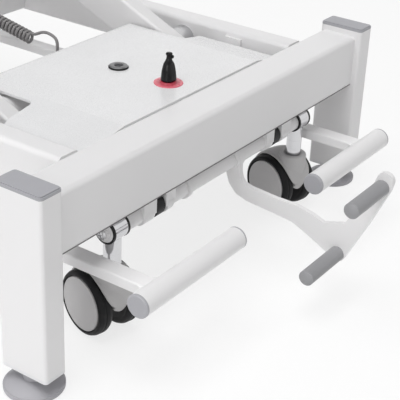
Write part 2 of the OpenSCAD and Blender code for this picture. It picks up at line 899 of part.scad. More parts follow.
// Lever outline, measured from the shaft's axis: the bent arm, the rising fork end and the two pegs
low_peg = [-151.5, -74.5];
high_peg = [-196.5, 25];
lever_arm = [[0, 0, castor_shaft_d + 6], [-4.5, -17.5, lever_w - 1], [-8, -28, lever_w - 1.5],
    [-15, -35.5, lever_w - 1.5], [-27.5, -39.5, lever_w - 1.5], [-64.5, -42.5, lever_w - 1],
    [-91.5, -44, lever_w + 2], [-110.5, -49.5, lever_w + 6], [-129.5, -57.5, lever_w + 8],
    [low_peg[0], low_peg[1], lever_w - 1]];
lever_fork = [[-129.5, -57.5, lever_w + 8], [-164.5, -43.5, lever_w + 2], [-176.5, -19.5, lever_w + 1],
    [high_peg[0], high_peg[1], lever_w - 0.5], [high_peg[0] - 2.5, high_peg[1] + 8.5, lever_w - 1.5]];

module castor_lever() {
    color(white_steel) translate([lever_x, castor_axis_y, castor_z]) {
        difference() {
            union() {
                upright(lever_t) {
                    tapers(lever_arm);
                    tapers(lever_fork);
                    taper(low_peg, [-164.5, -43.5], lever_w - 1, lever_w + 2);
                }
                rod_x(castor_shaft_d + 5, 16);
            }
            rod_x(castor_shaft_d, 20);
            for (p = [low_peg, high_peg])
                translate([0, p[0], p[1]]) rod_x(8, lever_t + 2 * cut);
        }
    }
}

module lever_peg() {
    r = peg_d / 2;
    rotate([0, -90, 0]) rotate_extrude() {
        square([r, peg_l - 5]);
        intersection() {
            translate([0, peg_l - 18]) circle(18, $fn = 120);
            square([r, peg_l]);
        }
        translate([0, -lever_t]) square([4, lever_t + 2]);
    }
}

module lever_pegs() {
    color(dark_grey) for (p = [low_peg, high_peg])
        translate([lever_x - lever_t / 2, castor_axis_y + p[0], castor_z + p[1]]) lever_peg();
}

// Rod that turns both castor shafts together
module castor_link() {
    y0 = castor_axis_y + link_back;
    color(white_steel) translate([link_x - 3, 0, castor_z - link_drop]) difference() {
        union() {
            translate([0, y0 + end_pitch / 2, 0]) rotate([90, 0, 0])
                linear_extrude(end_pitch, center = true) round_rect(8, 14, 1.5);
            for (y = [y0, y0 + end_pitch]) translate([0, y, 0]) rod_x(20, 8);
        }
        translate([0, y0, 0]) rod_x(pin_d + 2 * fit, 20);
        translate([0, y0 + end_pitch, 0]) rod_x(pin_d + 0.6, 20);
    }
}

// Castors: drawn about the axle's middle, the stem in front of it
module at_castor(sx, pitch) {
    translate([sx * stem_x, stem_y + pitch, 0]) rotate([0, 0, castor_turn])
        translate([0, trail, wheel_z]) children();
}

// Front of the hood: from the collar it narrows to a rounded tip between the wheels
module hood_front() {
    tip_r = 5;
    rotate([90, 0, 0]) linear_extrude(trail + collar_d) {
        polygon([[-collar_d / 2, 42], [collar_d / 2, 42], [12.5, 20.5], [8.3, 9.6], [5, 3], [-5, 3],
            [-8.3, 9.6], [-12.5, 20.5]]);
        translate([0, tip_r - 0.8]) circle(tip_r);
    }
}

// Hood: a crowned dome over the wheels' inner halves, the web between them, the front and the chromed stem
module castor_hood() {
    r = wheel_d / 2 + hood_gap;
    crown = r + hood_t;
    crown_r = 30;
    web = wheel_in - 1;
    collar_top = collar_z - wheel_z;
    edge_r = 3;
    color(grey_plastic) difference() {
        union() {
            intersection() {
                rotate([0, 90, 0]) rotate_extrude() intersection() {
                    translate([crown - crown_r, 0]) circle(crown_r, $fn = 120);
                    translate([0, -hood_half]) square([crown, 2 * hood_half]);
                }
                translate([-40, -26, 4]) rotate([-10, 0, 0]) cube([80, 90, 60]);
            }
            intersection() {
                rod_x(2 * r + 1, 2 * web);
                translate([-web, -trail - 3, 0]) cube([2 * web, trail + 3 + r, 2 * r]);
            }
            rod_x(24, 2 * web);
            intersection() {
                translate([0, -trail, -6])
                    cylinder(r1 = collar_d / 2 - 3, r2 = collar_d / 2, h = collar_top - 6);
                hood_front();
            }
            translate([0, -trail, collar_top - 14]) rotate_extrude() {
                square([collar_d / 2, 14 - edge_r]);
                square([collar_d / 2 - edge_r, 14]);
                translate([collar_d / 2 - edge_r, 14 - edge_r]) circle(edge_r);
            }
        }
        rod_x(12 + 2 * fit, 100);
        both_sides() translate([web + 30, 0, 0]) rod_x(2 * r, 60);
    }
    color(bright_steel) translate([0, -trail, collar_top - cut]) {
        cylinder(d = stem_d, h = socket_z - collar_z + cut - 0.3);
        cylinder(d = 10, h = socket_z - collar_z + cut + 9);
    }
}

// Two wheels on one axle, each with a soft tread
module castor_wheels() {
    color(dark_grey) {
        rod_x(12, 2 * (wheel_in + 8));
        both_sides() rotate([0, 90, 0]) rotate_extrude() difference() {
            translate([0, wheel_in]) {
                square([wheel_d / 2 - 4, wheel_w]);
                translate([0, 4]) square([wheel_d / 2, wheel_w - 8]);
                for (z = [4, wheel_w - 4]) translate([wheel_d / 2 - 4, z]) circle(4);
            }
            translate([-wheel_d, 0]) square([wheel_d, 60]);
            translate([0, wheel_in + wheel_w - 1.5]) square([hub_cap_d / 2 - 0.5, 6]);
        }
    }
}

module castor_hub_caps() {
    color(grey_plastic) both_sides() rotate([0, 90, 0]) rotate_extrude() {
        translate([0, wheel_in + wheel_w - 1.5]) square([hub_cap_d / 2 - 0.5, 1.5]);
        intersection() {
            translate([0, wheel_in + wheel_w + 2.5 - 180]) circle(180, $fn = 360);
            translate([0, wheel_in + wheel_w - 1]) square([hub_cap_d / 2 - 0.5, 6]);
        }
    }
}

module front_left_hood() {
    at_castor(-1, 0) castor_hood();
}

module front_right_hood() {
    at_castor(1, 0) castor_hood();
}

module rear_left_hood() {
    at_castor(-1, end_pitch) castor_hood();
}

module rear_right_hood() {
    at_castor(1, end_pitch) castor_hood();
}

module front_left_wheels() {
    at_castor(-1, 0) castor_wheels();
}

module front_right_wheels() {
    at_castor(1, 0) castor_wheels();
}

module rear_left_wheels() {
    at_castor(-1, end_pitch) castor_wheels();
}

module rear_right_wheels() {
    at_castor(1, end_pitch) castor_wheels();
}

module front_left_hub_caps() {
    at_castor(-1, 0) castor_hub_caps();
}

module front_right_hub_caps() {
    at_castor(1, 0) castor_hub_caps();
}

module rear_left_hub_caps() {
    at_castor(-1, end_pitch) castor_hub_caps();
}

module rear_right_hub_caps() {
    at_castor(1, end_pitch) castor_hub_caps();
}

// Foot bars: a long flat bar under each side rail with a round tube across each end

// Weld in the corner of the flat bar and an end tube, drawn with the corner at the origin
module bar_weld() {
    r = 12;
    linear_extrude(bar_h - 3, center = true) difference() {
        translate([-1, -5]) square([r + 0.5, r + 4.5]);
        translate([r - 0.3, r - 0.3]) circle(r);
    }
}

// Mirrors across and along the table where s or t is negative
module flipped(s, t) {
    mirror([s < 0 ? 1 : 0, 0, 0]) mirror([0, t < 0 ? 1 : 0, 0]) children();
}

module bar_tube(y) {
    translate([(bar_inner + bar_outer) / 2, y, bar_z]) rod_x(bar_tube_d, bar_outer - bar_inner);
}

module foot_bar() {
    color(white_steel) difference() {
        union() {
            translate([bar_x, front_y - bar_out, bar_mid_z])
                along(base_l + 2 * bar_out) round_rect(bar_w, bar_h, 2);
            bar_tube(front_y - bar_out);
            bar_tube(rear_y + bar_out);
            for (s = [-1, 1], t = [-1, 1])
                translate([bar_x + s * bar_w / 2, bar_pivot_y, bar_mid_z]) flipped(s, t)
                    translate([0, -base_l / 2 - bar_out + bar_tube_d / 2, 0]) bar_weld();
        }
        translate([bar_x, bar_pivot_y, bar_mid_z]) rod_x(pin_d + 2 * fit, bar_w + 2 * cut);
    }
}

module left_foot_bar() {
    mirror([1, 0, 0]) foot_bar();
}

module right_foot_bar() {
    foot_bar();
}

module foot_bar_caps() {
    color(grey_plastic) for (y = [front_y - bar_out, rear_y + bar_out])
        for (e = [[bar_inner, -1], [bar_outer, 1]])
            translate([e[0], y, bar_z]) rotate([0, e[1] * 90, 0]) {
                cylinder(d = bar_tube_d, h = bar_cap_t - 1);
                translate([0, 0, bar_cap_t - 1]) cylinder(d1 = bar_tube_d, d2 = bar_tube_d - 3, h = 1);
            }
}

module left_foot_bar_caps() {
    mirror([1, 0, 0]) foot_bar_caps();
}

module right_foot_bar_caps() {
    foot_bar_caps();
}

// Top

module frame_tube(y0, y1) {
    both_sides() translate([top_x, y0, frame_z])
        along(y1 - y0) tube_section(top_tube_w, top_tube_h, 3, 2.5);
}

module cross_tube(y) {
    translate([0, y, frame_z]) rotate([90, 0, 90])
        linear_extrude(2 * top_x - top_tube_w, center = true)
            tube_section(top_tube_w, top_tube_h, 3, 2.5);
}

// Hinge strap: rises from the end of a frame tube into the gap between the cushions
module hinge_strap(x, reach, hole) {
    foot_l = 54;
    translate([x, 0, 0]) upright(6) difference() {
        union() {
            translate([joint_y, hinge_z]) circle(d = 18);
            translate([joint_y - 8, top_z - 6]) square([16, hinge_z - top_z + 6]);
            translate([joint_y + (reach < 0 ? 8 - foot_l : -8), top_z - 14]) square([foot_l, 14]);
        }
        translate([joint_y, hinge_z]) circle(d = hole);
    }
}

// Frame under the seat section with the ears of the upper pivots
module top_frame() {
    start = joint_y + 16;
    end = top_l / 2 - frame_inset;
    ear_t = 8;
    color(white_steel) {
        difference() {
            union() {
                frame_tube(start, end);
                for (y = [start + top_tube_w / 2, up_y + 90, up_y + pivot_pitch + 90, end - top_tube_w / 2])
                    cross_tube(y);
                both_sides() for (y = [up_y, up_y + pivot_pitch]) {
                    translate([top_x - ear_t, y - 26, up_z]) cube([ear_t, 52, frame_rise + 2]);
                    translate([top_x - ear_t / 2, y, up_z]) rod_x(52, ear_t);
                }
                both_sides() hinge_strap(hinge_x + 3.2, 1, pin_d);
            }
            for (y = [up_y, up_y + pivot_pitch])
                translate([0, y, up_z]) rod_x(arm_shaft_d, 2 * top_x + 40);
        }
    }
}

module back_frame() {
    start = top_front + frame_inset;
    end = joint_y - 16;
    color(white_steel) {
        frame_tube(start, end);
        for (y = [start + top_tube_w / 2, end - top_tube_w / 2 - 60]) cross_tube(y);
        both_sides() hinge_strap(hinge_x - 3.2, -1, pin_d + 2 * fit);
    }
}

module back_hinge_pins() {
    color(bright_steel) both_sides() translate([hinge_x, joint_y, hinge_z]) {
        rod_x(pin_d, 13);
        translate([8, 0, 0]) rod_x(15, 3);
    }
}

// Cushions: rings of a rounded outline, drawn in at the board and crowned on top

function outline_ring(w, l, r, inset, z) =
    let (a = w / 2 - r, b = l / 2 - r, q = max(r - inset, 2), s = min(r - inset - 2, 0))
    [for (c = [[1, 1, 0], [-1, 1, 90], [-1, -1, 180], [1, -1, 270]], k = [0 : corner_steps])
        let (t = c[2] + 90 * k / corner_steps)
        [c[0] * (a + s) + q * cos(t), c[1] * (b + s) + q * sin(t), z]];

// Inset and height of each ring, as shares of the cushion's thickness
cushion_rings = [[10, 0], [3, 0.03], [1, 0.10], [1.5, 0.18], [0.3, 0.35], [0, 0.55], [1.5, 0.72],
    [5, 0.84], [11, 0.92], [20, 0.962], [45, 0.982], [90, 0.993], [150, 0.998]];

module cushion(w, l) {
    r = 45;
    rows = [for (c = cushion_rings) outline_ring(w, l, r, c[0], c[1] * cushion_h)];
    n = len(rows[0]);
    last = len(rows) - 1;
    points = concat([for (row = rows) each row], [[0, 0, 0], [0, 0, cushion_h]]);
    sides = [for (i = [0 : last - 1], k = [0 : n - 1])
        let (a = i * n + k, b = i * n + (k + 1) % n, c = a + n, e = b + n)
        each [[a, c, b], [b, c, e]]];
    ends = [for (k = [0 : n - 1])
        let (k2 = (k + 1) % n, base = (last + 1) * n)
        each [[base, k, k2], [base + 1, last * n + k2, last * n + k]]];
    polyhedron(points, concat(sides, ends));
}

module seat_cushion() {
    l = top_l - back_l - cushion_gap;
    color(vinyl) translate([0, top_l / 2 - l / 2, top_z]) cushion(top_w, l);
}

module back_cushion() {
    color(vinyl) translate([0, top_front + back_l / 2, top_z]) cushion(top_w, back_l);
}

front_cross_rail();
rear_cross_rail();
left_side_rail();
right_side_rail();
front_left_post();
front_right_post();
rear_left_post();
rear_right_post();
post_caps();
post_plugs();
front_left_foot();
front_right_foot();
rear_left_foot();
rear_right_foot();
base_cover();
cover_screw();
key_collar();
key();
cord_gland();
curly_cord();
control_box();
frame_crossbars();
actuator_housing();
actuator_rod();
rod_pin();
front_castor_shaft();
rear_castor_shaft();
shaft_bearings();
front_castor_clamps();
rear_castor_clamps();
front_clamp_rings();
castor_lever();
lever_pegs();
castor_link();
front_left_hood();
front_right_hood();
rear_left_hood();
rear_right_hood();
front_left_wheels();
front_right_wheels();
rear_left_wheels();
rear_right_wheels();
front_left_hub_caps();
front_right_hub_caps();
rear_left_hub_caps();
rear_right_hub_caps();
left_foot_bar();
right_foot_bar();
left_foot_bar_caps();
right_foot_bar_caps();
front_lift_arms();
rear_lift_arms();
lower_arm_shafts();
upper_arm_shafts();
top_frame();
seat_cushion();
back_frame();
back_cushion();
back_hinge_pins();
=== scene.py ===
"""Treatment table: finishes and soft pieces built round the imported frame."""

import json
import logging
import math
from dataclasses import dataclass
from enum import Enum
from functools import cache
from typing import Sequence

import bmesh
import bpy
import numpy as np
from mathutils import Matrix, Vector
from mathutils.bvhtree import BVHTree

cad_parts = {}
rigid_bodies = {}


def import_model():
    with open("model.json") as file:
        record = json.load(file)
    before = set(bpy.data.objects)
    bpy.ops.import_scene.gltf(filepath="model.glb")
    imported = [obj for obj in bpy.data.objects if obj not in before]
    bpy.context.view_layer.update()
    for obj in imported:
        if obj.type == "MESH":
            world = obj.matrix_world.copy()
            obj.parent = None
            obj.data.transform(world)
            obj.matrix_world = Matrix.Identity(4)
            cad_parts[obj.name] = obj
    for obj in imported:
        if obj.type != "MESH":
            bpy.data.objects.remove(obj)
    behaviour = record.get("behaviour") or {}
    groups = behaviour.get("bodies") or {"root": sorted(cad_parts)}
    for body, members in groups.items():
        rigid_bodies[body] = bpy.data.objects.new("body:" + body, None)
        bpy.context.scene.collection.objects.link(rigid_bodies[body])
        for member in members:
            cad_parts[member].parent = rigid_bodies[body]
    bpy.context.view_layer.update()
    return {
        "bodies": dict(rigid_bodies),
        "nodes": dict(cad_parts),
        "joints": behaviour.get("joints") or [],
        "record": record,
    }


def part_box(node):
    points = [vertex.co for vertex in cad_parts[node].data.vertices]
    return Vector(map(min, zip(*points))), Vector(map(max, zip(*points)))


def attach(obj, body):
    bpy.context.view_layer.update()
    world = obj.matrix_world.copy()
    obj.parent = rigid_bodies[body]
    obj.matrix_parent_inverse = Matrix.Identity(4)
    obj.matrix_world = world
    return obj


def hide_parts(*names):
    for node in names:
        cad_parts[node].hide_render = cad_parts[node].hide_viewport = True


LOG = logging.getLogger("table")
MM = 0.001
ENDS = ("front", "rear")
SIDES = ("left", "right")
CORNERS = tuple(f"{end}_{side}" for end in ENDS for side in SIDES)

Rgb = tuple[float, float, float]
Point = tuple[float, float, float]
Pairs = Sequence[tuple[float, float]]


class Axis(Enum):
    """Level directions that turned pieces are made along."""

    ACROSS = (1.0, 0.0, 0.0)
    ALONG = (0.0, 1.0, 0.0)

    @property
    def frame(self) -> Matrix:
        """Rotation that takes +Z to this direction."""
        return Vector((0, 0, 1)).rotation_difference(Vector(self.value)).to_matrix().to_4x4()


# Shader nodes


class Val:
    """A number in a node tree that takes part in Python arithmetic."""

    def __init__(self, tree: "Tree", socket: bpy.types.NodeSocket) -> None:
        """Wraps the output socket that carries the number."""
        self.tree = tree
        self.socket = socket

    def __add__(self, other: "Val | float") -> "Val":
        """Sum."""
        return self.tree.math("ADD", self, other)

    __radd__ = __add__

    def __mul__(self, other: "Val | float") -> "Val":
        """Product."""
        return self.tree.math("MULTIPLY", self, other)

    __rmul__ = __mul__

    def __sub__(self, other: "Val | float") -> "Val":
        """Difference."""
        return self.tree.math("SUBTRACT", self, other)

    def __rsub__(self, other: float) -> "Val":
        """Difference from a plain number."""
        return self.tree.math("SUBTRACT", other, self)

    def __truediv__(self, other: float) -> "Val":
        """Quotient."""
        return self.tree.math("DIVIDE", self, other)

    def clamped(self) -> "Val":
        """Holds the number between 0 and 1.

        Returns:
            The held number.
        """
        held = self.tree.math("ADD", self, 0.0)
        held.socket.node.use_clamp = True
        return held

    def above(self, edge: float, soft: float) -> "Val":
        """Mask that rises from 0 to 1 over a width of soft and is a half at the edge."""
        return ((self - edge) / soft + 0.5).clamped()


class Tree:
    """Builds the nodes of a material or of the sky."""

    def __init__(self, tree: bpy.types.NodeTree) -> None:
        """Takes a node tree and empties it."""
        self.tree = tree
        self.tree.nodes.clear()

    def node(self, kind: str, settings: dict, sockets: dict) -> bpy.types.Node:
        """Adds one node.

        Args:
            kind: the node's type.
            settings: the node's own settings.
            sockets: values or links of its inputs, by name or number.

        Returns:
            The node.
        """
        made = self.tree.nodes.new(kind)
        for key, value in settings.items():
            setattr(made, key, value)
        for key, value in sockets.items():
            self.feed(made.inputs[key], value)
        return made

    def feed(self, socket: bpy.types.NodeSocket, value: object) -> None:
        """Links or sets one input.

        Args:
            socket: the input.
            value: a Val, an output socket or a plain value.
        """
        if isinstance(value, Val):
            self.tree.links.new(value.socket, socket)
        elif isinstance(value, bpy.types.NodeSocket):
            self.tree.links.new(value, socket)
        else:
            socket.default_value = value

    def math(self, operation: str, a: "Val | float", b: "Val | float") -> Val:
        """Adds a Math node on two numbers."""
        return Val(self, self.node("ShaderNodeMath", {"operation": operation}, {0: a, 1: b}).outputs[0])

    def rays(self, *kinds: str) -> Val:
        """1 for rays of the given kinds, 0 for all others."""
        path = self.node("ShaderNodeLightPath", {}, {})
        return sum(Val(self, path.outputs[f"Is {kind} Ray"]) for kind in kinds).clamped()

    def chosen(self, mask: Val, a: bpy.types.Node, b: bpy.types.Node) -> bpy.types.NodeSocket:
        """The first shader where a mask is 0, the second where it is 1."""
        sockets = {0: mask, 1: a.outputs[0], 2: b.outputs[0]}
        return self.node("ShaderNodeMixShader", {}, sockets).outputs[0]


class Net(Tree):
    """Builds one material round a Principled shader."""

    def __init__(self, name: str) -> None:
        """Makes the material with its shader and output.

        Args:
            name: the material's name.
        """
        self.material = bpy.data.materials.new(name)
        self.material.use_nodes = True
        super().__init__(self.material.node_tree)
        self.shader = self.node("ShaderNodeBsdfPrincipled", {}, {})
        self.out = self.node("ShaderNodeOutputMaterial", {}, {"Surface": self.shader.outputs[0]})
        self.place = self.node("ShaderNodeTexCoord", {}, {}).outputs["Object"]

    def stretched(self, scale: Point) -> bpy.types.NodeSocket:
        """Object coordinates stretched along the axes."""
        return self.node("ShaderNodeMapping", {}, {"Vector": self.place, "Scale": scale}).outputs[0]

    def noise(self, scale: float, detail: float, where: bpy.types.NodeSocket | None = None) -> Val:
        """Soft noise from 0 to 1, by its grains per metre and how many finer layers it has."""
        sockets = {"Vector": where or self.place, "Scale": scale, "Detail": detail}
        return Val(self, self.node("ShaderNodeTexNoise", {}, sockets).outputs[0])

    def cells(self, scale: float) -> Val:
        """Pattern of rounded cells.

        Args:
            scale: the cells per metre.

        Returns:
            The distance to the nearest cell's middle.
        """
        sockets = {"Vector": self.place, "Scale": scale}
        made = self.node("ShaderNodeTexVoronoi", {"feature": "SMOOTH_F1"}, sockets)
        return Val(self, made.outputs["Distance"])

    def axis(self, name: str) -> Val:
        """One object coordinate, X, Y or Z, in metres."""
        return Val(self, self.node("ShaderNodeSeparateXYZ", {}, {0: self.place}).outputs[name])

    def tint(self, mask: Val, a: Rgb, b: Rgb) -> bpy.types.NodeSocket:
        """The first colour where a mask is 0, the second where it is 1."""
        sockets = {0: mask, 6: (*a, 1.0), 7: (*b, 1.0)}
        return self.node("ShaderNodeMix", {"data_type": "RGBA"}, sockets).outputs[2]

    def bump(self, height: Val, depth: float) -> None:
        """Feeds a relief of a depth in metres to the shader's normal."""
        sockets = {"Height": height, "Distance": depth, "Strength": 1.0}
        self.feed(self.shader.inputs["Normal"], self.node("ShaderNodeBump", {}, sockets).outputs[0])

    def set(self, **values: object) -> None:
        """Sets or links shader inputs, spaces written as underscores."""
        for key, value in values.items():
            self.feed(self.shader.inputs[key.replace("_", " ")], value)


def shade(colour: Rgb, by: float) -> Rgb:
    """A colour made lighter or darker by a factor."""
    return tuple(min(c * by, 1.0) for c in colour)


# Finishes


@dataclass(frozen=True)
class Finish:
    """A surface finish: its name, its slot in the record, its colour and gloss."""

    name: str
    slot: str
    colour: Rgb
    gloss: float

    @property
    def rough(self) -> float:
        """The roughness before any texture."""
        return 1 - self.gloss

    def paint(self, net: Net) -> None:
        """Adds the finish's own nodes."""
        raise NotImplementedError

    @cache
    def material(self) -> bpy.types.Material:
        """The finish's material, made once.

        Returns:
            The material.
        """
        net = Net(f"finish_{self.name}")
        self.paint(net)
        return net.material


@dataclass(frozen=True)
class PowderCoat(Finish):
    """Baked powder paint: fine orange peel, and a colour a little darker towards the bottom."""

    peel: float = 0.00006

    def paint(self, net: Net) -> None:
        """Adds the peel, the faint clouding and the darker bottom.

        Args:
            net: the material's builder.
        """
        peel = net.noise(620, 2)
        speck = net.noise(3600, 1)
        cloud = net.noise(7, 3)
        # the colour is made darker towards the bottom, below about 0.14 m up
        low = 1 - net.axis("Z").above(0.06, 0.16)
        rubbed = net.noise(38, 4).above(0.64, 0.1) * 0.35
        body = net.tint((cloud * 0.7 + low * 0.25).clamped(), self.colour, shade(self.colour, 0.965))
        net.set(Base_Color=body, Roughness=self.rough + (peel - 0.5) * 0.12 + rubbed * 0.12)
        net.set(Coat_Weight=0.12, Coat_Roughness=0.18)
        net.bump(peel * 0.8 + speck * 0.2, self.peel)


@dataclass(frozen=True)
class Moulded(Finish):
    """Injection-moulded plastic with a spark-eroded texture."""

    grain: float = 2400.0
    depth: float = 0.00004
    sheen: float = 0.5

    def paint(self, net: Net) -> None:
        """Adds the texture and the flow marks.

        Args:
            net: the material's builder.
        """
        grain = net.noise(self.grain, 2)
        flow = net.noise(22, 3)
        body = net.tint(flow, shade(self.colour, 1.04), shade(self.colour, 0.95))
        net.set(Base_Color=body, Roughness=self.rough + (grain - 0.5) * 0.2, Specular_IOR_Level=self.sheen)
        net.bump(grain, self.depth)


@dataclass(frozen=True)
class Rubber(Finish):
    """Soft rubber or tread compound: matt, scuffed where it is trodden."""

    scuff: Rgb
    wear: float = 0.25
    sheen: float = 0.3

    def paint(self, net: Net) -> None:
        """Adds the scuffs and the pores.

        Args:
            net: the material's builder.
        """
        pores = net.noise(1500, 3)
        scuffed = net.noise(90, 5).above(0.6, 0.16) * self.wear
        body = net.tint(scuffed, self.colour, self.scuff)
        net.set(Base_Color=body, Roughness=self.rough + (pores - 0.5) * 0.25 + scuffed * 0.2)
        net.set(Specular_IOR_Level=self.sheen)
        net.bump(pores, 0.00005)


@dataclass(frozen=True)
class Metal(Finish):
    """Plated or drawn steel with fine lines round or along the piece."""

    lines: Point = (900.0, 60.0, 60.0)
    depth: float = 0.00001

    def paint(self, net: Net) -> None:
        """Adds the drawn lines and the smears.

        Args:
            net: the material's builder.
        """
        drawn = net.noise(1.0, 3, net.stretched(self.lines))
        smear = net.noise(45, 3)
        body = net.tint(smear, self.colour, shade(self.colour, 0.9))
        rough = self.rough + (drawn - 0.5) * 0.14 + (smear - 0.5) * 0.1
        net.set(Base_Color=body, Metallic=1.0, Roughness=rough)
        net.bump(drawn, self.depth)


@dataclass(frozen=True)
class Vinyl(Finish):
    """Upholstery vinyl: leather grain in pebbles, with a soft sheen and stretch creases."""

    pebbles: float = 620.0

    def paint(self, net: Net) -> None:
        """Adds the grain and the clouding of the hide print.

        Args:
            net: the material's builder.
        """
        hollow = (net.cells(self.pebbles) * 1.4).clamped()
        fine = net.noise(2600, 2)
        cloud = net.noise(9, 4)
        crease = net.noise(60, 5)
        mask = (cloud * 0.6 + hollow * 0.3).clamped()
        rough = self.rough + (hollow - 0.5) * 0.16 + (crease - 0.5) * 0.12
        body = net.tint(mask, shade(self.colour, 1.06), shade(self.colour, 0.86))
        net.set(Base_Color=body, Roughness=rough)
        net.bump(1 - hollow * 0.8 + fine * 0.15 + crease * 0.5, 0.00022)


@dataclass(frozen=True)
class Cloth(Finish):
    """Thin non-woven cloth with a visible fibre pattern."""

    fibres: Point = (420.0, 1700.0, 900.0)

    def paint(self, net: Net) -> None:
        """Adds the fibres.

        Args:
            net: the material's builder.
        """
        fibre = net.noise(1.0, 4, net.stretched(self.fibres))
        body = net.tint(fibre, shade(self.colour, 0.7), shade(self.colour, 1.3))
        net.set(Base_Color=body, Roughness=self.rough + (fibre - 0.5) * 0.1)
        net.bump(fibre, 0.0002)


@dataclass(frozen=True)
class PaintedLightLens(Finish):
    """Clear coloured plastic with painted light: its colour is painted paler towards its rim, at a reach from
    its centre, for light passing through the thinner plastic.
    """

    rim: Rgb
    centre: Point
    reach: float

    def paint(self, net: Net) -> None:
        """Adds the painted paler rim, which stands for light through the thinner plastic, and the moulded
        rings.

        Args:
            net: the material's builder.
        """
        dx = net.axis("X") - self.centre[0]
        dy = net.axis("Y") - self.centre[1]
        r = net.math("SQRT", dx * dx + dy * dy, 0.0) / self.reach
        rings = net.noise(260, 2)
        # painted light: paler colour towards the rim for light through the thinner plastic
        body = net.tint(r.above(0.72, 0.4), self.colour, self.rim)
        net.set(Base_Color=body, Roughness=self.rough + (rings - 0.5) * 0.08)
        net.bump(rings, 0.00003)


WHITE = PowderCoat("white_paint", "white_paint", (0.845, 0.838, 0.842), 0.62)
COVER = Moulded("white_cover", "white_cover", (0.845, 0.845, 0.85), 0.72, 1500.0, 0.00002)
PLUG = Moulded("white_plastic", "white_plastic", (0.80, 0.80, 0.81), 0.5)
CAP = Moulded("grey_plastic", "grey_plastic", (0.40, 0.40, 0.425), 0.5)
HUB = Moulded("hub_grey", "grey_plastic", (0.55, 0.54, 0.543), 0.5, 1900.0)
SHELL = Moulded("castor_grey", "grey_plastic", (0.50, 0.492, 0.492), 0.5, 1700.0)
FOOT = Moulded("foot_grey", "grey_plastic", (0.40, 0.395, 0.42), 0.45)
BLACK = Moulded("black_plastic", "black_plastic", (0.006, 0.006, 0.007), 0.85, 900.0, 0.00001, 0.22)
CASE = Moulded("actuator_case", "black_plastic", (0.06, 0.06, 0.065), 0.5)
PEG = Rubber("peg_rubber", "grey_rubber", (0.31, 0.31, 0.32), 0.58, (0.33, 0.33, 0.35), 0.3)
WASHER = Rubber("washer_rubber", "grey_rubber", (0.16, 0.16, 0.17), 0.4, (0.24, 0.24, 0.24))
# painted shade: dark colour for the beads that stand for the shadow line along the rails' feet
SHADOW_LINE = Rubber("painted_shadow_line", "grey_rubber", (0.19, 0.185, 0.187), 0.4, (0.25, 0.25, 0.25))
TYRE = Rubber("tyre", "tyre_rubber", (0.007, 0.007, 0.008), 0.5, (0.03, 0.029, 0.027), 0.35, 0.2)
SHEATH = Rubber("cord_sheath", "cord_sheath", (0.27, 0.262, 0.262), 0.5, (0.34, 0.33, 0.33))
RING = Rubber("black_ring", "black_plastic", (0.012, 0.012, 0.013), 0.55, (0.04, 0.04, 0.04), sheen=0.22)
CHROME = Metal("chrome", "bright_steel", (0.66, 0.66, 0.675), 0.88)
STEEL = Metal("bright_steel", "bright_steel", (0.62, 0.62, 0.63), 0.7)
CUP = Metal("dull_steel", "bright_steel", (0.33, 0.33, 0.335), 0.6)
VINYL = Vinyl("vinyl", "vinyl", (0.115, 0.185, 0.245), 0.52)
THREAD = Cloth("thread", "vinyl", (0.16, 0.24, 0.31), 0.3)
LINING = Cloth("lining", "vinyl", (0.018, 0.018, 0.02), 0.1)


# Meshes


def linked(name: str, data: bpy.types.ID) -> bpy.types.Object:
    """Puts a mesh, a lamp or a camera into the scene.

    Args:
        name: the object's name.
        data: what it holds.

    Returns:
        The object.
    """
    made = bpy.data.objects.new(name, data)
    bpy.context.scene.collection.objects.link(made)
    return made


def mesh_object(points: Sequence, faces: Sequence, smooth: bool = True) -> bpy.types.Object:
    """Makes an object from points and faces, with its face normals outward.

    Args:
        points: its vertices in metres.
        faces: lists of vertex numbers.
        smooth: whether it is shaded smooth, with sharp edges kept.

    Returns:
        The object, named when it is dressed.
    """
    mesh = bpy.data.meshes.new("piece")
    mesh.from_pydata([tuple(p) for p in points], [], faces)
    work = bmesh.new()
    work.from_mesh(mesh)
    bmesh.ops.remove_doubles(work, verts=work.verts, dist=1e-6)
    bmesh.ops.recalc_face_normals(work, faces=work.faces)
    work.to_mesh(mesh)
    work.free()
    made = linked("piece", mesh)
    if smooth:
        smooth_shaded(made)
    return made


def smooth_shaded(piece: bpy.types.Object, angle: float = 38.0) -> None:
    """Shades a mesh smooth and keeps edges sharper than an angle.

    Args:
        piece: the object.
        angle: the least angle of a sharp edge, in degrees.
    """
    work = bmesh.new()
    work.from_mesh(piece.data)
    limit = math.radians(angle)
    for face in work.faces:
        face.smooth = True
    for edge in work.edges:
        edge.smooth = len(edge.link_faces) != 2 or edge.calc_face_angle(0.0) < limit
    work.to_mesh(piece.data)
    work.free()


def quads(rows: int, count: int, first: int = 0, closed: bool = False) -> list[tuple[int, ...]]:
    """The faces between rings of points.

    Args:
        rows: how many rings there are.
        count: how many points a ring has.
        first: the number of the first ring's first point.
        closed: whether the last ring joins the first.

    Returns:
        The faces, ring by ring.
    """
    faces = []
    for row in range(rows if closed else rows - 1):
        a, b = first + row * count, first + (row + 1) % rows * count
        for k in range(count):
            n = (k + 1) % count
            faces.append((a + k, a + n, b + n, b + k))
    return faces


def loft(rows: int, count: int, first: int = 0) -> list[tuple[int, ...]]:
    """The faces of a closed loft: those between its rings, and one over each end.

    Args:
        rows: how many rings of points it has.
        count: how many points a ring has.
        first: the number of the first ring's first point.

    Returns:
        The faces.
    """
    ends = [tuple(first + row * count + k for k in range(count)) for row in (0, rows - 1)]
    return quads(rows, count, first) + ends


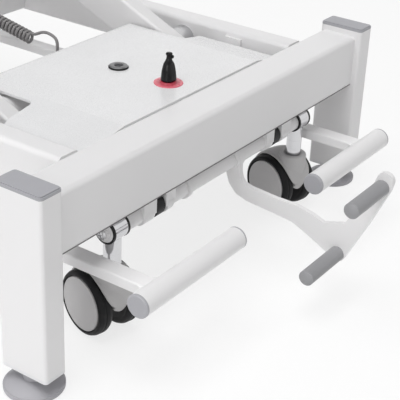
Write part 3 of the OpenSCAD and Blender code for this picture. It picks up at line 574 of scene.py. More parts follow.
def lathe(profile: Pairs, place: Matrix, steps: int = 64) -> bpy.types.Object:
    """Turns a profile round its own +Z axis.

    Args:
        profile: (radius, height) pairs in millimetres, from bottom to top.
        place: where the turned piece stands, in metres.
        steps: how many sides it has.

    Returns:
        The object.
    """
    turns = [math.tau * k / steps for k in range(steps)]
    points = [place @ Vector((r * MM * math.cos(a), r * MM * math.sin(a), h * MM))
              for r, h in profile for a in turns]
    faces = quads(len(profile), steps)
    for row in (0, len(profile) - 1):
        if profile[row][0] > 0.01:
            faces.append(tuple(row * steps + k for k in range(steps)))
    return mesh_object(points, faces)


def rounded(profile: Pairs, radius: float, steps: int = 4) -> list[tuple[float, float]]:
    """Rounds the corners of a profile.

    Args:
        profile: (radius, height) pairs in millimetres.
        radius: the round's size in millimetres.
        steps: points in each round.

    Returns:
        The profile with its inner corners rounded.
    """
    points = [Vector(p) for p in profile]
    out = [tuple(points[0])]
    for a, b, c in zip(points, points[1:], points[2:]):
        p, q = a - b, c - b
        r = min(radius, p.length * 0.45, q.length * 0.45)
        start, end = b + p.normalized() * r, b + q.normalized() * r
        for k in range(steps + 1):
            t = k / steps
            out.append(tuple(start * (1 - t) ** 2 + b * 2 * t * (1 - t) + end * t * t))
    return out + [tuple(points[-1])]


def smoothed(points: Sequence[Vector], parts: int) -> list[Vector]:
    """A smooth curve through points.

    Args:
        points: the points it passes through.
        parts: steps between two points.

    Returns:
        The curve's points.
    """
    out = []
    last = len(points) - 1
    for i in range(last):
        a, b, c, d = points[max(i - 1, 0)], points[i], points[i + 1], points[min(i + 2, last)]
        for k in range(parts):
            t = k / parts
            out.append(0.5 * ((2 * b) + (c - a) * t + (2 * a - 5 * b + 4 * c - d) * t * t
                              + (3 * b - a - 3 * c + d) * t ** 3))
    return out + [points[-1]]


def tube(line: Sequence[Vector], radius: float, sides: int, closed: bool = False) -> bpy.types.Object:
    """Sweeps a round section along a line.

    Args:
        line: the points it follows.
        radius: the section's radius in metres.
        sides: how many sides the section has.
        closed: whether the line joins its own start.

    Returns:
        The object.
    """
    count = len(line)
    points = []
    normal = None
    for i, here in enumerate(line):
        before = line[i - 1] if i or closed else line[0]
        after = line[(i + 1) % count] if i < count - 1 or closed else line[-1]
        along = (after - before).normalized()
        if normal is None:
            normal = along.orthogonal().normalized()
        normal = (normal - along * normal.dot(along)).normalized()
        side = along.cross(normal)
        for k in range(sides):
            a = math.tau * k / sides
            points.append(here + radius * (math.cos(a) * normal + math.sin(a) * side))
    return mesh_object(points, quads(count, sides, closed=True) if closed else loft(count, sides))


def modified(piece: bpy.types.Object, kind: str, **settings: object) -> bpy.types.Modifier:
    """Adds a modifier.

    Args:
        piece: the object.
        kind: the modifier's type.
        **settings: its settings, in the order in which they are set.

    Returns:
        The modifier.
    """
    made = piece.modifiers.new(kind, kind)
    for key, value in settings.items():
        setattr(made, key, value)
    return made


def applied(piece: bpy.types.Object) -> None:
    """Turns an object's modifiers into its own mesh.

    Args:
        piece: the object.
    """
    graph = bpy.context.evaluated_depsgraph_get()
    mesh = bpy.data.meshes.new_from_object(piece.evaluated_get(graph))
    piece.modifiers.clear()
    piece.data = mesh


def carved(piece: bpy.types.Object, tool: bpy.types.Object) -> None:
    """Applies a piece's modifiers, cuts a tool's shape out of it and removes the tool.

    Args:
        piece: the object.
        tool: the shape to cut away.
    """
    modified(piece, "BOOLEAN", operation="DIFFERENCE", object=tool, solver="EXACT")
    applied(piece)
    bpy.data.objects.remove(tool)


def joined(pieces: Sequence[bpy.types.Object]) -> bpy.types.Object:
    """Joins meshes into the first of them.

    Args:
        pieces: the objects.

    Returns:
        The first one, which holds them all.
    """
    work = bmesh.new()
    for piece in pieces:
        work.from_mesh(piece.data)
    for piece in pieces[1:]:
        bpy.data.objects.remove(piece)
    work.to_mesh(pieces[0].data)
    work.free()
    return pieces[0]


def finished(piece: bpy.types.Object, name: str, body: str, finish: Finish, *nodes: str) -> None:
    """Names and dresses a piece and puts it on its body.

    Args:
        piece: the object.
        name: its name.
        body: the body that carries it.
        finish: its finish.
        *nodes: the frame's nodes that it stands for.
    """
    piece.name = piece.data.name = name
    piece.data.materials.clear()
    piece.data.materials.append(finish.material())
    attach(piece, body)
    if nodes:
        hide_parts(*nodes)
    LOG.info("%s on %s", piece.name, body)


# Sub-assemblies


@dataclass
class SteelWork:
    """Everything whose solid already has the real shape and only takes a finish, and the dark beads painted
    as shadow lines in the rails' grooves.
    """

    frame: dict
    groove_z: float = 3.6 * MM
    shadow_line_r: float = 0.55 * MM

    def coats(self) -> dict[Finish, list[str]]:
        """Tells which nodes take which finish.

        Returns:
            Each finish with its nodes.
        """
        rails = [f"{end}_{part}" for end in ENDS for part in ("cross_rail", "castor_shaft", "lift_arms")]
        rails += [f"{side}_{part}" for side in SIDES for part in ("side_rail", "foot_bar")]
        rails += [f"{corner}_post" for corner in CORNERS]
        return {
            WHITE: [*rails, "frame_crossbars", "shaft_bearings", "castor_lever", "castor_link", "top_frame",
                    "back_frame"],
            COVER: ["base_cover"],
            PLUG: ["post_plugs"],
            CAP: ["post_caps", "left_foot_bar_caps", "right_foot_bar_caps", "control_box"],
            FOOT: [f"{corner}_foot" for corner in CORNERS],
            PEG: ["lever_pegs"],
            WASHER: ["cord_gland"],
            CASE: ["actuator_housing"],
            RING: ["front_clamp_rings"],
            CHROME: ["front_castor_clamps", "rear_castor_clamps", "actuator_rod"],
            STEEL: ["rod_pin", "lower_arm_shafts", "upper_arm_shafts", "back_hinge_pins"],
        }

    def build(self) -> None:
        """Gives each node its finish and lays the painted shadow lines."""
        for finish, nodes in self.coats().items():
            for node in nodes:
                for held in self.frame["nodes"][node].material_slots:
                    held.material = finish.material()
                LOG.info("%s in %s", node, finish.name)
        self.seams()

    def seams(self) -> None:
        """Lays a thin dark bead in the groove along the foot of both cross rails, painted shade that stands
        for the shadow line there.
        """
        shadow_lines = []
        for end in ENDS:
            low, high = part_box(f"{end}_cross_rail")
            for y in (low.y + 0.1 * MM, high.y - 0.1 * MM):
                line = [Vector((x, y, low.z + self.groove_z)) for x in (low.x + 1 * MM, 0.0, high.x - 1 * MM)]
                shadow_lines.append(tube(line, self.shadow_line_r, 10))
        # painted shade: the dark beads stand for the shadow in the rails' grooves
        finished(joined(shadow_lines), "rail_shadow_lines", "base", SHADOW_LINE)


@dataclass
class KeySwitch:
    """Black key in a red collar on the cover. Lengths are in millimetres."""

    collar_r: float = 17.2
    collar_rise: float = 3.0
    barrel_r: float = 9.9
    barrel_h: float = 16.0
    mouth_r: float = 4.2
    key_h: float = 37.0
    grip_r: float = 9.3
    hook_h: float = 5.2
    hook_out: float = 2.4

    def build(self) -> None:
        """Makes the collar and the key."""
        low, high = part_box("key_collar")
        centre = (low + high) / 2
        centre.z = high.z - self.collar_rise * MM
        place = Matrix.Translation(centre)
        barrel, r, rise = self.barrel_r, self.collar_r, self.collar_rise
        # the collar's colour is painted paler towards its rim for light through the plastic
        lens = PaintedLightLens("red_plastic", "red_plastic", (0.42, 0.03, 0.055), 0.72, (0.78, 0.17, 0.22),
                    tuple(centre), r * MM)
        collar = lathe(rounded([
            (barrel, -self.barrel_h), (barrel, -0.2), (r, -0.2), (r, 0.9), (barrel + 0.5, 1.3),
            (barrel + 0.1, rise), (self.mouth_r, rise + 0.1)], 0.5), place)
        finished(collar, "key_switch_collar", "base", lens, "key_collar")
        finished(self.key(place), "switch_key", "key_head", BLACK, "key")

    def key(self, place: Matrix) -> bpy.types.Object:
        """Makes the key: a waisted grip with two thumb flats and a hooked neck.

        Args:
            place: where the key stands.

        Returns:
            The object.
        """
        h, r, foot = self.key_h, self.grip_r, self.collar_rise + 0.3
        grip = lathe(rounded([
            (0.0, foot), (r, foot), (r - 0.3, 7), (8.2, 0.42 * h), (6.7, 0.62 * h), (4.6, 0.72 * h),
            (3.2, 0.80 * h), (3.0, 0.90 * h), (4.0, 0.94 * h), (3.8, 0.985 * h), (2.6, h), (0.0, h)], 2.0, 5),
            Matrix.Identity(4), 56)
        for vertex in grip.data.vertices:
            p = vertex.co
            share = min(max((p.z / (h * MM) - 0.25) / 0.4, 0.0), 1.0)
            flat = (6.6 - 2.4 * share) * MM
            p.y = math.copysign(min(abs(p.y), flat + 0.12 * abs(p.y)), p.y)
        end, neck = self.hook_h, Matrix.Translation((self.hook_out * MM, 0, 0.86 * h * MM))
        hook = lathe(rounded([(0.0, -end), (2.0, -end), (2.6, 0.8 - end), (2.6, end - 0.8), (2.0, end),
                              (0.0, end)], 0.8), neck @ Axis.ALONG.frame @ Matrix.Scale(0.8, 4), 28)
        whole = joined([grip, hook])
        whole.data.transform(place)
        return whole


@dataclass
class Castor:
    """One twin-wheel castor: hood with its socket, chromed stem, two wheels and their discs.

    Lengths are in millimetres and the turn in degrees.
    """

    corner: str
    turn: float = -14.0
    trail: float = 19.5
    wheel_in: float = 10.0
    wheel_w: float = 18.0
    wheel_r: float = 37.5
    bore_r: float = 6.2
    disc_r: float = 31.0
    disc_rise: float = 2.2
    axle_r: float = 5.9
    stem_r: float = 9.7
    stem_top: float = 103.95
    pin_r: float = 4.9
    collar_r: float = 17.5
    collar_foot: float = 66.0
    collar_top: float = 84.0
    socket: float = 3.0
    dome_r: float = 42.4
    dome_crown: float = 1.9
    dome_in: float = 31.0
    cone_back: float = 12.0

    def build(self) -> None:
        """Makes the castor's pieces round the axle that the frame gives."""
        low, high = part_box(f"{self.corner}_hub_caps")
        place = Matrix.Translation((low + high) / 2) @ Matrix.Rotation(math.radians(self.turn), 4, "Z")
        faces = [place @ Matrix.Scale(side, 4, (1, 0, 0)) @ Axis.ACROSS.frame for side in (1, -1)]
        tyres = joined([*(self.tyre(face) for face in faces), self.axle(place)])
        discs = joined([self.disc(face) for face in faces])
        body = f"{self.corner}_wheel_pair"
        smooth_shaded(tyres)
        finished(tyres, f"{self.corner}_tyres", body, TYRE, f"{self.corner}_wheels")
        smooth_shaded(discs)
        finished(discs, f"{self.corner}_discs", body, HUB, f"{self.corner}_hub_caps")
        self.hood(place)

    def tyre(self, face: Matrix) -> bpy.types.Object:
        """Turns one tyre with a crowned, grooved tread and a stepped side wall.

        Args:
            face: the wheel's frame, +Z outward.

        Returns:
            The object.
        """
        a, b, r, rim = self.wheel_in, self.wheel_in + self.wheel_w, self.wheel_r, self.disc_r
        wall = rounded([
            (self.bore_r, a + 1), (r - 8, a + 1), (r - 5, a), (r - 2.2, a + 0.5), (r, a + 4.6), (r, a + 9),
            (r - 0.7, a + 9.4), (r - 0.7, a + 10.6), (r, a + 11), (r, b - 5), (r - 1.4, b - 1.4),
            (r - 3.6, b), (r - 5.2, b - 0.2), (r - 5.8, b - 1.2), (rim + 0.5, b - 1), (rim + 0.4, b - 2.4),
            (self.bore_r, b - 2.4)], 1.6)
        return lathe(wall + wall[:1], face, 96)

    def disc(self, face: Matrix) -> bpy.types.Object:
        """Turns one disc: a shallow dome with a rolled edge.

        Args:
            face: the wheel's frame, +Z outward.

        Returns:
            The object.
        """
        top, r, rise = self.wheel_in + self.wheel_w, self.disc_r, self.disc_rise
        edge = [(0.0, top - rise), (r, top - rise), (r, top - 0.6), (r - 0.25, top - 0.1),
                (r - 0.8, top + 0.25)]
        turns = np.linspace(0.35, math.pi / 2, 12)
        return lathe(edge + [(r * math.cos(t), top + rise * math.sin(t) ** 2) for t in turns], face, 96)

    def axle(self, place: Matrix) -> bpy.types.Object:
        """Turns the axle that joins the wheels through the hood."""
        r, half = self.axle_r, self.wheel_in + 8
        return lathe([(0.0, -half), (r, -half), (r, half), (0.0, half)], place @ Axis.ACROSS.frame, 40)

    def hood(self, place: Matrix) -> None:
        """Moulds the shell as one skin over dome, cone, collar and web, and adds the stem.

        Args:
            place: the castor's frame, on the middle of its axle.
        """
        upright = place @ Matrix.Translation((0, -self.trail * MM, -place.translation.z))
        r, foot, top = self.collar_r, self.collar_foot, self.collar_top
        seat_r, seat = self.stem_r + 1.6, top - self.socket
        collar = lathe(rounded([(0.0, foot), (r, foot), (r, top), (seat_r, top), (seat_r, seat), (0.0, seat)],
                               2.6, 5), upright, 48)
        shell = joined([self.dome(place), self.cone(place), collar, self.web(place)])
        modified(shell, "REMESH", mode="VOXEL", voxel_size=0.9 * MM)
        modified(shell, "SMOOTH", factor=0.5, iterations=5)
        inner, room, hole, reach = self.wheel_in - 0.8, self.wheel_r + 1.2, self.axle_r + 0.4, 42
        carved(shell, lathe([
            (0.0, -reach), (room, -reach), (room, -inner), (hole, -inner), (hole, inner), (room, inner),
            (room, reach), (0.0, reach)], place @ Axis.ACROSS.frame, 96))
        smooth_shaded(shell, 50)
        finished(shell, f"{self.corner}_shell", f"{self.corner}_castor", SHELL, f"{self.corner}_hood")
        _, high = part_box(f"{self.corner}_hood")
        r, shoulder, pin, tip = self.stem_r, self.stem_top, self.pin_r, high.z / MM
        stem = lathe([(0.0, seat), (r, seat), (r, shoulder - 0.1), (r - 0.1, shoulder), (pin, shoulder),
                      (pin, tip - 0.3), (pin - 0.3, tip), (0.0, tip)], upright, 48)
        finished(stem, f"{self.corner}_stem", f"{self.corner}_castor", CHROME)

    def dome(self, place: Matrix) -> bpy.types.Object:
        """Lofts the shell over the treads, widest before the top and narrowing to a round tip in front.

        Args:
            place: the castor's frame.

        Returns:
            The object.
        """
        turns = np.linspace(-3.0, 186.0, 64)
        halves = np.interp(turns, (-3, 0, 4, 10, 19, 28, 43, 63, 85, 117, 150, 186),
                           (3.5, 6.5, 8.5, 12, 15, 17.6, 19.8, 20.8, 20.2, 17.7, 15, 13))
        radii = np.interp(turns, (-3, 6, 12, 20, 34), (35, 36.5, 39.6, 41, self.dome_r))
        across = (-1.0, -0.93, -0.78, -0.55, -0.25, 0.0, 0.25, 0.55, 0.78, 0.93, 1.0)
        points = []
        for turn, half, radius in zip(np.radians(turns), halves, radii):
            section = [(u * half, radius - self.dome_crown * abs(u) ** 4) for u in across]
            section += [(half, self.dome_in), (-half, self.dome_in)]
            points += [placed(place, x, -r * math.cos(turn), r * math.sin(turn)) for x, r in section]
        return mesh_object(points, loft(len(turns), len(across) + 2))

    def cone(self, place: Matrix) -> bpy.types.Object:
        """Lofts the rounded cone from the front tip up to the collar.

        Args:
            place: the castor's frame.

        Returns:
            The object.
        """
        levels = np.linspace(-2.0, 40.0, 43)
        halves = np.interp(levels, (-2, -1, 1, 5, 10, 20, 30, 40), (2.6, 4.6, 6.4, 8.6, 11, 15, 17.2, 17.5))
        fronts = np.interp(levels, (-2, 0, 5, 10, 20, 30), (13.6, 15, 15.8, 16.3, 17, 17.5))
        turns = np.linspace(0.0, math.tau, 40, endpoint=False)
        points = []
        for level, half, front in zip(levels, halves, fronts):
            for turn in turns:
                depth = front if math.sin(turn) < 0 else self.cone_back
                y = depth * math.sin(turn) - self.trail
                points.append(placed(place, half * math.cos(turn), y, level))
        return mesh_object(points, loft(len(levels), len(turns)))

    def web(self, place: Matrix) -> bpy.types.Object:
        """Fills the space between the wheels behind the cone, round the axle.

        Args:
            place: the castor's frame.

        Returns:
            The object.
        """
        half = self.wheel_in - 1.4
        rim = [(-22, 3), (-12, -9), (0, -12.5), (12, -9), (33, 2), (33, 20), (0, 38), (-22, 32)]
        points = [placed(place, x, y, z) for x in (-half, half) for y, z in rim]
        return mesh_object(points, loft(2, len(rim)))


def placed(place: Matrix, x: float, y: float, z: float) -> Vector:
    """A point of a frame, given in millimetres."""
    return place @ Vector((x * MM, y * MM, z * MM))


@dataclass
class CurlyCord:
    """Retractile lead from the cover's grommet to the control box, on the route of its solid."""

    turns: int = 24
    pitch: float = 5.95 * MM
    radius: float = 6.5 * MM
    wire: float = 2.0 * MM
    slope: float = 0.18
    start: Point = (0.020, -0.453, 0.212)
    grommet: Point = (0.020, -0.511, 0.196)
    box_y: float = -0.283
    steps: int = 22

    def at(self, dy: float, turn: float) -> Vector:
        """Point of the coil.

        Args:
            dy: distance past the coil's start, in metres.
            turn: angle round its axis, in degrees.

        Returns:
            The point.
        """
        a = math.radians(turn)
        across, up = self.radius * math.cos(a), self.radius * math.sin(a)
        x, y, z = self.start
        return Vector((x + across, y + dy, z + self.slope * dy + up))

    def route(self) -> list[Vector]:
        """The lead's middle line, from grommet to box.

        Returns:
            The points of the tail, the coil and the run into the box.
        """
        gx, gy, gz = self.grommet
        tail = [(0, -3, gz), (0, 0, gz), (0, 9.5, gz), (0, 12.6, 0.1985), (0.1, 13.9, 0.204),
                (0.2, 13.8, 0.211), (0.4, 14.4, 0.2165), (0.9, 17.5, 0.2208), (1.8, 25, 0.2234),
                (2.8, 34, 0.224), (3.3, 42, 0.2225), (3.2, 48, 0.2198)]
        count, length = self.steps * self.turns, self.pitch * self.turns
        reach, end = self.box_y - self.start[1], 90 + 360 * self.turns
        lead = [Vector((gx + x * MM, gy + y * MM, z)) for x, y, z in tail]
        lead += [self.at(-d * MM, 90 - t) for d, t in ((4, 20), (1.5, 10), (0, 0))]
        coil = [self.at(length * i / count, 90 + 360 * i / self.steps) for i in range(count + 1)]
        leave = [self.at(length + d * MM, end + t) for d, t in ((0, 0), (1.5, 22), (4, 38), (8, 46))]
        leave += [self.at(reach + d * MM, end + 46) for d in (-4, 2)]
        return smoothed(lead, 5)[:-1] + coil + smoothed(leave, 5)[1:]

    def build(self) -> None:
        """Makes the lead and its strain relief."""
        finished(tube(self.route(), self.wire, 12), "curly_lead", "base", SHEATH, "curly_cord")
        relief = lathe(rounded([
            (2.1, -2), (6.6, -2), (6.6, 1.2), (4.4, 1.8), (4.0, 4), (3.3, 4.2), (3.3, 5.2), (3.6, 5.4),
            (3.3, 7.4), (2.7, 7.6), (2.7, 8.2), (2.9, 8.4), (2.1, 9.6)], 0.25, 2),
            Matrix.Translation(self.grommet) @ Axis.ALONG.frame, 32)
        finished(relief, "lead_strain_relief", "base", SHEATH)


@dataclass
class Cushion:
    """Upholstered section: foam under vinyl, piped seams, stitches and a lined, stapled underside."""

    node: str
    body: str
    name: str
    voxel: float = 8 * MM
    corner: float = 45 * MM
    shy: float = 7
    cap: float = 11 * MM
    seam: float = 0.70
    piping_r: float = 2.4 * MM
    stitch: float = 7 * MM
    pressure: float = 4.0
    frames: int = 20
    staple_gap: float = 45 * MM
    staple_half: float = 5.5 * MM

    def __post_init__(self) -> None:
        """Reads the cushion's box and works out its seam's height."""
        self.low, self.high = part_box(self.node)
        self.depth = self.high.z - self.low.z
        self.level = self.low.z + self.seam * self.depth

    def outline(self, inset: float, count: int = 22) -> list[tuple[float, float]]:
        """Rounded outline of the cushion's plan.

        Args:
            inset: how far it is drawn in.
            count: points in each corner.

        Returns:
            The outline's points.
        """
        r = max(self.corner - inset, 4 * MM)
        x_low, y_low = self.low.x + inset + r, self.low.y + inset + r
        x_high, y_high = self.high.x - inset - r, self.high.y - inset - r
        out = []
        for i, (x, y) in enumerate(((x_high, y_high), (x_low, y_high), (x_low, y_low), (x_high, y_low))):
            for k in range(count + 1):
                a = math.radians(90 * i + 90 * k / count)
                out.append((x + r * math.cos(a), y + r * math.sin(a)))
        return out

    def block(self) -> bpy.types.Object:
        """The foam block before it swells.

        Returns:
            The object.
        """
        shy = self.shy
        rows = [(16, 0.0), (9, 0.0), (6, 0.03), (4, 0.12), (shy, 0.5), (shy + 1, 0.78), (shy + 5, 0.88),
                (shy + 14, 0.925), (shy + 60, 0.93)]
        rings = [[(x, y, self.low.z + z * self.depth) for x, y in self.outline(i * MM)] for i, z in rows]
        return mesh_object([p for ring in rings for p in ring], loft(len(rings), len(rings[0])))

    def swell(self, pad: bpy.types.Object) -> None:
        """Fills the block by a cloth simulation and keeps its board side flat.

        Args:
            pad: the block.
        """
        modified(pad, "REMESH", mode="VOXEL", voxel_size=self.voxel)
        applied(pad)
        start = np.array([v.co for v in pad.data.vertices])
        held = pad.vertex_groups.new(name="board")
        held.add([int(i) for i in np.nonzero(start[:, 2] < self.low.z + 9 * MM)[0]], 1.0, "ADD")
        settings = modified(pad, "CLOTH").settings
        settings.use_pressure = True
        settings.uniform_pressure_force = self.pressure
        settings.vertex_group_mass = "board"
        settings.effector_weights.gravity = 0.0
        scene = bpy.context.scene
        for number in range(1, self.frames + 1):
            scene.frame_set(number)
        applied(pad)
        scene.frame_set(1)
        move = np.array([v.co for v in pad.data.vertices]) - start
        far = np.linalg.norm(move, axis=1, keepdims=True)
        now = start + move * np.minimum(1.0, self.cap / np.maximum(far, 1e-9))
        now[:, 2] = np.minimum(now[:, 2], self.high.z + 3 * MM)
        self.reshape(pad, now)
        modified(pad, "SMOOTH", factor=0.5, iterations=3)
        modified(pad, "SUBSURF", levels=1, render_levels=1)
        applied(pad)

    def reshape(self, pad: bpy.types.Object, points: np.ndarray) -> None:
        """Moves the pad's vertices to new points."""
        pad.data.vertices.foreach_set("co", points.astype(np.float32).ravel())
        pad.data.update()

    def seams(self, pad: bpy.types.Object) -> None:
        """Draws the cover in along the piped seam and at the sewn corners, and adds soft pull folds.

        Args:
            pad: the swollen pad.
        """
        co = np.array([v.co for v in pad.data.vertices])
        nrm = np.array([v.normal for v in pad.data.vertices])
        x, y, z = co.T
        side = np.abs(nrm[:, 2]) < 0.8
        dip = 1.6 * MM * np.exp(-((z - self.level) / (4 * MM)) ** 2) * side
        corner_x = np.minimum(x - self.low.x, self.high.x - x)
        corner_y = np.minimum(y - self.low.y, self.high.y - y)
        near_corner = side * (z < self.level) * (np.hypot(corner_x, corner_y) < 60 * MM)
        across = np.abs(corner_x - corner_y) / math.sqrt(2)
        dip += 1.1 * MM * np.exp(-(across / (2.6 * MM)) ** 2) * near_corner
        pull = np.sin(x * 61 + 2.3 * np.sin(y * 17)) * np.sin(y * 53 + 1.7 * np.sin(x * 23))
        near_edge = np.exp(-np.minimum(corner_x, corner_y) / (50 * MM))
        dip += 0.45 * MM * pull * near_edge * (z > self.low.z + 12 * MM)
        self.reshape(pad, co - nrm * dip[:, None])
        smooth_shaded(pad, 70)

    def ring(self, tree: BVHTree, level: float, proud: float, step: float) -> list[Vector]:
        """Points round the pad's side at one height.

        Args:
            tree: the pad's surface.
            level: the height in metres.
            proud: how far the points stand off the surface.
            step: the rough distance between points.

        Returns:
            The points.
        """
        rim = self.outline(-20 * MM)
        rim = np.array(rim + rim[:1])
        lengths = np.append(0.0, np.cumsum(np.linalg.norm(np.diff(rim, axis=0), axis=1)))
        count = int(lengths[-1] / step)
        out = []
        for want in lengths[-1] * np.arange(count) / count:
            outer = Vector((*(np.interp(want, lengths, side) for side in rim.T), level))
            inner = (min(max(outer[i], self.low[i] + 0.07), self.high[i] - 0.07) for i in (0, 1))
            core = Vector((*inner, level))
            hit, normal, _, _ = tree.ray_cast(outer, (core - outer).normalized())
            if hit:
                out.append(hit + normal * proud)
        return out

    def build(self) -> None:
        """Makes the pad, its piping, stitches, lining and staples."""
        pad = self.block()
        self.swell(pad)
        self.seams(pad)
        tree = BVHTree.FromObject(pad, bpy.context.evaluated_depsgraph_get())
        finished(pad, self.name, self.body, VINYL, self.node)
        rim = self.ring(tree, self.level, 0.3 * MM, 8 * MM)
        finished(tube(rim, self.piping_r, 8, True), f"{self.name}_piping", self.body, VINYL)
        self.stitches(self.ring(tree, self.level - 6 * MM, 0.1 * MM, self.stitch))
        self.lining()
        self.staples()

    def stitches(self, row: Sequence[Vector]) -> None:
        """Lays a row of thread below the piping.

        Args:
            row: the needle's holes.
        """
        points, faces = [], []
        up = Vector((0, 0, 1))
        for a, b in zip(row, row[1:] + row[:1]):
            span = b - a
            if span.length > 2 * self.stitch:
                continue
            start, end = a + span * 0.14, a + span * 0.86
            out = span.normalized().cross(up)
            faces += loft(4, 6, len(points))
            for t, r in ((0.0, 0.15), (0.18, 0.42), (0.82, 0.42), (1.0, 0.15)):
                for turn in (math.pi * k / 3 for k in range(6)):
                    points.append(start.lerp(end, t) + r * MM * (math.cos(turn) * up + math.sin(turn) * out))
        finished(mesh_object(points, faces), f"{self.name}_stitches", self.body, THREAD)

    def lining(self) -> None:
        """Stretches the black lining under the board."""
        layers = ((26, 0.4), (26, -0.4), (44, -0.6))
        rings = [[(x, y, self.low.z + z * MM) for x, y in self.outline(i * MM, 8)] for i, z in layers]
        lining = mesh_object([p for ring in rings for p in ring], loft(len(rings), len(rings[0])))
        finished(lining, f"{self.name}_lining", self.body, LINING)

    def staples(self) -> None:
        """Drives the staples that hold the lining."""
        rim = self.outline(31 * MM, 8)
        points, faces = [], []
        for (ax, ay), (bx, by) in zip(rim, rim[1:] + rim[:1]):
            span = math.hypot(bx - ax, by - ay)
            count = int(span / self.staple_gap)
            ux, uy = (bx - ax) / span * self.staple_half, (by - ay) / span * self.staple_half
            for t in ((i + 0.5) / count for i in range(count)):
                x, y = ax + (bx - ax) * t, ay + (by - ay) * t
                faces += loft(2, 4, len(points))
                for z in (-1.1 * MM, -0.3 * MM):
                    for s, w in ((-1, -0.09), (1, -0.09), (1, 0.09), (-1, 0.09)):
                        points.append((x + s * ux - w * uy, y + s * uy + w * ux, self.low.z + z))
        finished(mesh_object(points, faces, False), f"{self.name}_staples", self.body, STEEL)


@dataclass
class Fasteners:
    """Cross-head screws in the castor shafts' ends, and the cover's screw on its washers, in millimetres."""

    shaft_r: float = 5.6
    cover_r: float = 4.3
    recess_turn: float = 20.0
    washer_r: float = 12.1
    washer_top: float = 7.7
    washer_bore: float = 5.0
    shank_r: float = 3.9
    shank_h: float = 22.0

    def screw(self, r: float, place: Matrix) -> bpy.types.Object:
        """A pan-head screw with a cross recess.

        Args:
            r: the head's radius.
            place: the head's seat, with +Z outward.

        Returns:
            The object.
        """
        head = lathe(rounded([(0.0, -1.5), (r, -1.5), (r, 1.4), (0.72 * r, 2.8), (0.0, 3.0)], 0.9),
                     Matrix.Identity(4), 40)
        turn = Matrix.Rotation(math.radians(self.recess_turn), 4, "Z")
        a, b = 0.575 * r, 0.11 * r
        corners = [(a, -b), (a, b), (b, b)]
        cross = [(x, y) for quarter in range(4) for x, y in (turned(c, quarter) for c in corners)]
        points = [placed(turn, x, y, z) for z in (1.3, 4.7) for x, y in cross]
        carved(head, mesh_object(points, loft(2, len(cross))))
        head.data.transform(place)
        smooth_shaded(head)
        return head

    def build(self) -> None:
        """Puts a screw in both ends of both shafts, and the cover's screw in its place."""
        for end in ENDS:
            low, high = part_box(f"{end}_castor_shaft")
            eye_low, eye_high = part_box(f"{end}_castor_clamps")
            y, eye_r = (eye_low.y + eye_high.y) / 2, (eye_high.y - eye_low.y) / 2
            for side, x, turn in (("left", low.x, math.pi), ("right", high.x, 0.0)):
                out = Matrix.Rotation(turn, 4, "Z") @ Axis.ACROSS.frame
                head = self.screw(self.shaft_r, Matrix.Translation((x, y, eye_high.z - eye_r)) @ out)
                finished(head, f"{end}_shaft_screw_{side}", f"{end}_castor_gear", STEEL)
        self.cover_screw()

    def cover_screw(self) -> None:
        """Lays a rubber ring and a cup washer on the cover, with the screw sunk in them."""
        low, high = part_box("cover_screw")
        seat = Matrix.Translation(((low.x + high.x) / 2, (low.y + high.y) / 2, high.z - self.washer_top * MM))
        r, bore, shank = self.washer_r, self.washer_bore, self.shank_r
        ring = lathe(rounded([
            (bore, 0.1), (r, 0.1), (r, 1.7), (r - 1, 2.1), (bore, 2.1), (bore, 0.1)], 0.4), seat)
        finished(ring, "cover_screw_ring", "base", RING, "cover_screw")
        cup = lathe(rounded([
            (0.0, -self.shank_h), (shank, -self.shank_h), (shank, 1.9), (r - 0.9, 1.9), (r - 0.7, 2.4),
            (r - 1.9, 3.2), (bore + 1.4, 3.4), (bore + 0.4, 2.9), (bore, 0.6), (0.0, 0.6)], 0.4), seat)
        finished(cup, "cover_screw_cup", "base", CUP)
        head = self.screw(self.cover_r, seat @ Matrix.Translation((0, 0, 0.9 * MM)))
        finished(head, "cover_screw_head", "base", CASE)


def turned(corner: tuple[float, float], quarters: int) -> tuple[float, float]:
    """A point turned about the origin by quarter turns.

    Args:
        corner: the point.
        quarters: how many quarter turns, anticlockwise.

    Returns:
        The turned point.
    """
    x, y = corner
    for _ in range(quarters):
        x, y = -y, x
    return x, y


# Studio


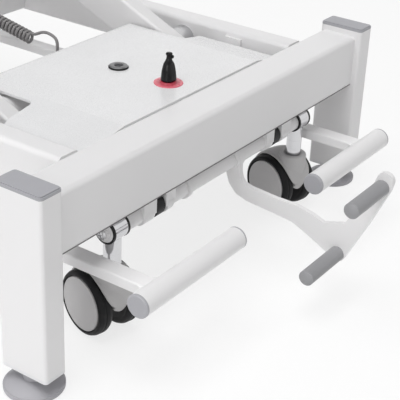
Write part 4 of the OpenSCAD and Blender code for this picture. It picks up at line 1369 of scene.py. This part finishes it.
@dataclass
class Studio:
    """Floor, lamps, sky and the camera."""

    eye: Point = (-0.95304, -1.38430, 0.68990)
    heading: float = 56.8722
    down: float = 27.3844
    roll: float = 3.0424
    lens: float = 98.5648
    sensor: float = 36.0
    middle: tuple[float, float] = (218.0, 193.0)
    size: float = 400.0
    sky: float = 0.34
    key: float = 92.0
    side: float = 21.0
    floor_half: float = 9.0
    floor_white: float = 0.77
    over: tuple[str, ...] = ("top_frame", "back_frame", "back_hinge_pins", "upper_arm_shafts")

    def build(self) -> None:
        """Builds the studio."""
        self.camera()
        self.floor()
        self.world()
        bpy.context.scene.view_settings.view_transform = "Standard"

    def camera(self) -> None:
        """Puts the camera where the photograph was taken."""
        h, d, r = (math.radians(v) for v in (self.heading, self.down, self.roll))
        ahead = Vector((math.sin(h) * math.cos(d), math.cos(h) * math.cos(d), -math.sin(d)))
        level = ahead.cross(Vector((0, 0, 1))).normalized()
        rise = level.cross(ahead)
        right = math.cos(r) * level + math.sin(r) * rise
        up = -math.sin(r) * level + math.cos(r) * rise
        lens = bpy.data.cameras.new("photograph")
        lens.lens, lens.sensor_width, lens.clip_start = self.lens, self.sensor, 0.05
        lens.shift_x = (self.size / 2 - self.middle[0]) / self.size
        lens.shift_y = (self.middle[1] - self.size / 2) / self.size
        made = linked("photograph", lens)
        made.matrix_world = Matrix.Translation(self.eye) @ Matrix((right, up, -ahead)).transposed().to_4x4()
        bpy.context.scene.camera = made

    def floor(self) -> None:
        """Lays the pale floor, which cameras and polished pieces see whiter than it lights the table."""
        half = self.floor_half
        corners = [(-half, -half, 0), (half, -half, 0), (half, half, 0), (-half, half, 0)]
        made = mesh_object(corners, [(0, 1, 2, 3)])
        made.name = "floor"
        net = Net("floor")
        net.set(Base_Color=(0.96, 0.96, 0.96, 1.0), Roughness=0.7 + net.noise(40, 2) * 0.1)
        seen = net.rays("Camera", "Glossy", "Transmission")
        white = net.node("ShaderNodeEmission", {}, {"Color": (1.0, 1.0, 1.0, 1.0), "Strength": 1.0})
        net.feed(net.out.inputs["Surface"], net.chosen(seen * self.floor_white, net.shader, white))
        made.data.materials.append(net.material)

    def world(self) -> None:
        """Lights the scene softly all round and shows white behind it."""
        sky = bpy.data.worlds.new("sky")
        bpy.context.scene.world = sky
        sky.use_nodes = True
        tree = Tree(sky.node_tree)
        plain, bright = (tree.node("ShaderNodeBackground", {}, {"Color": (1, 1, 1, 1), "Strength": power})
                         for power in (self.sky, 1.0))
        mix = tree.chosen(tree.rays("Camera", "Glossy"), plain, bright)
        tree.node("ShaderNodeOutputWorld", {}, {"Surface": mix})

    def lamp(self, name: str, at: Point, to: Point, size: float, power: float) -> bpy.types.Object:
        """Hangs one soft lamp.

        Args:
            name: the lamp's name.
            at: where it hangs.
            to: the point it faces.
            size: its side in metres.
            power: its power in watts.

        Returns:
            The lamp.
        """
        light = bpy.data.lights.new(name, "AREA")
        light.shape, light.size, light.energy = "SQUARE", size, power
        made = linked(name, light)
        made.location = at
        made.rotation_euler = (Vector(to) - Vector(at)).to_track_quat("-Z", "Y").to_euler()
        return made

    def light(self, above: set[str]) -> None:
        """Hangs the lamps; the table's top doesn't shade its own base from the overhead one.

        Args:
            above: names of the pieces above the base.
        """
        key = self.lamp("overhead", (-0.9, -0.6, 3.5), (0, -0.45, 0.1), 2.4, self.key)
        self.lamp("side", (-3.2, -0.9, 1.0), (0, -0.6, 0.1), 1.6, self.side)
        shading = bpy.data.collections.new("overhead_shading")
        for piece in bpy.context.scene.objects:
            if piece.type == "MESH" and piece.name not in above:
                shading.objects.link(piece)
        key.light_linking.blocker_collection = shading


def main() -> None:
    """Builds the pieces in order."""
    logging.basicConfig(level=logging.INFO, format="%(message)s")
    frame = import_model()
    studio = Studio()
    studio.build()
    SteelWork(frame).build()
    KeySwitch().build()
    for corner in CORNERS:
        Castor(corner).build()
    Fasteners().build()
    CurlyCord().build()
    Cushion("seat_cushion", "top", "seat_pad").build()
    Cushion("back_cushion", "back_section", "back_pad").build()
    above = {frame["nodes"][name].name for name in studio.over}
    above |= {o.name for o in bpy.context.scene.objects if o.name.startswith(("seat_pad", "back_pad"))}
    studio.light(above)


if __name__ == "__main__":
    main()
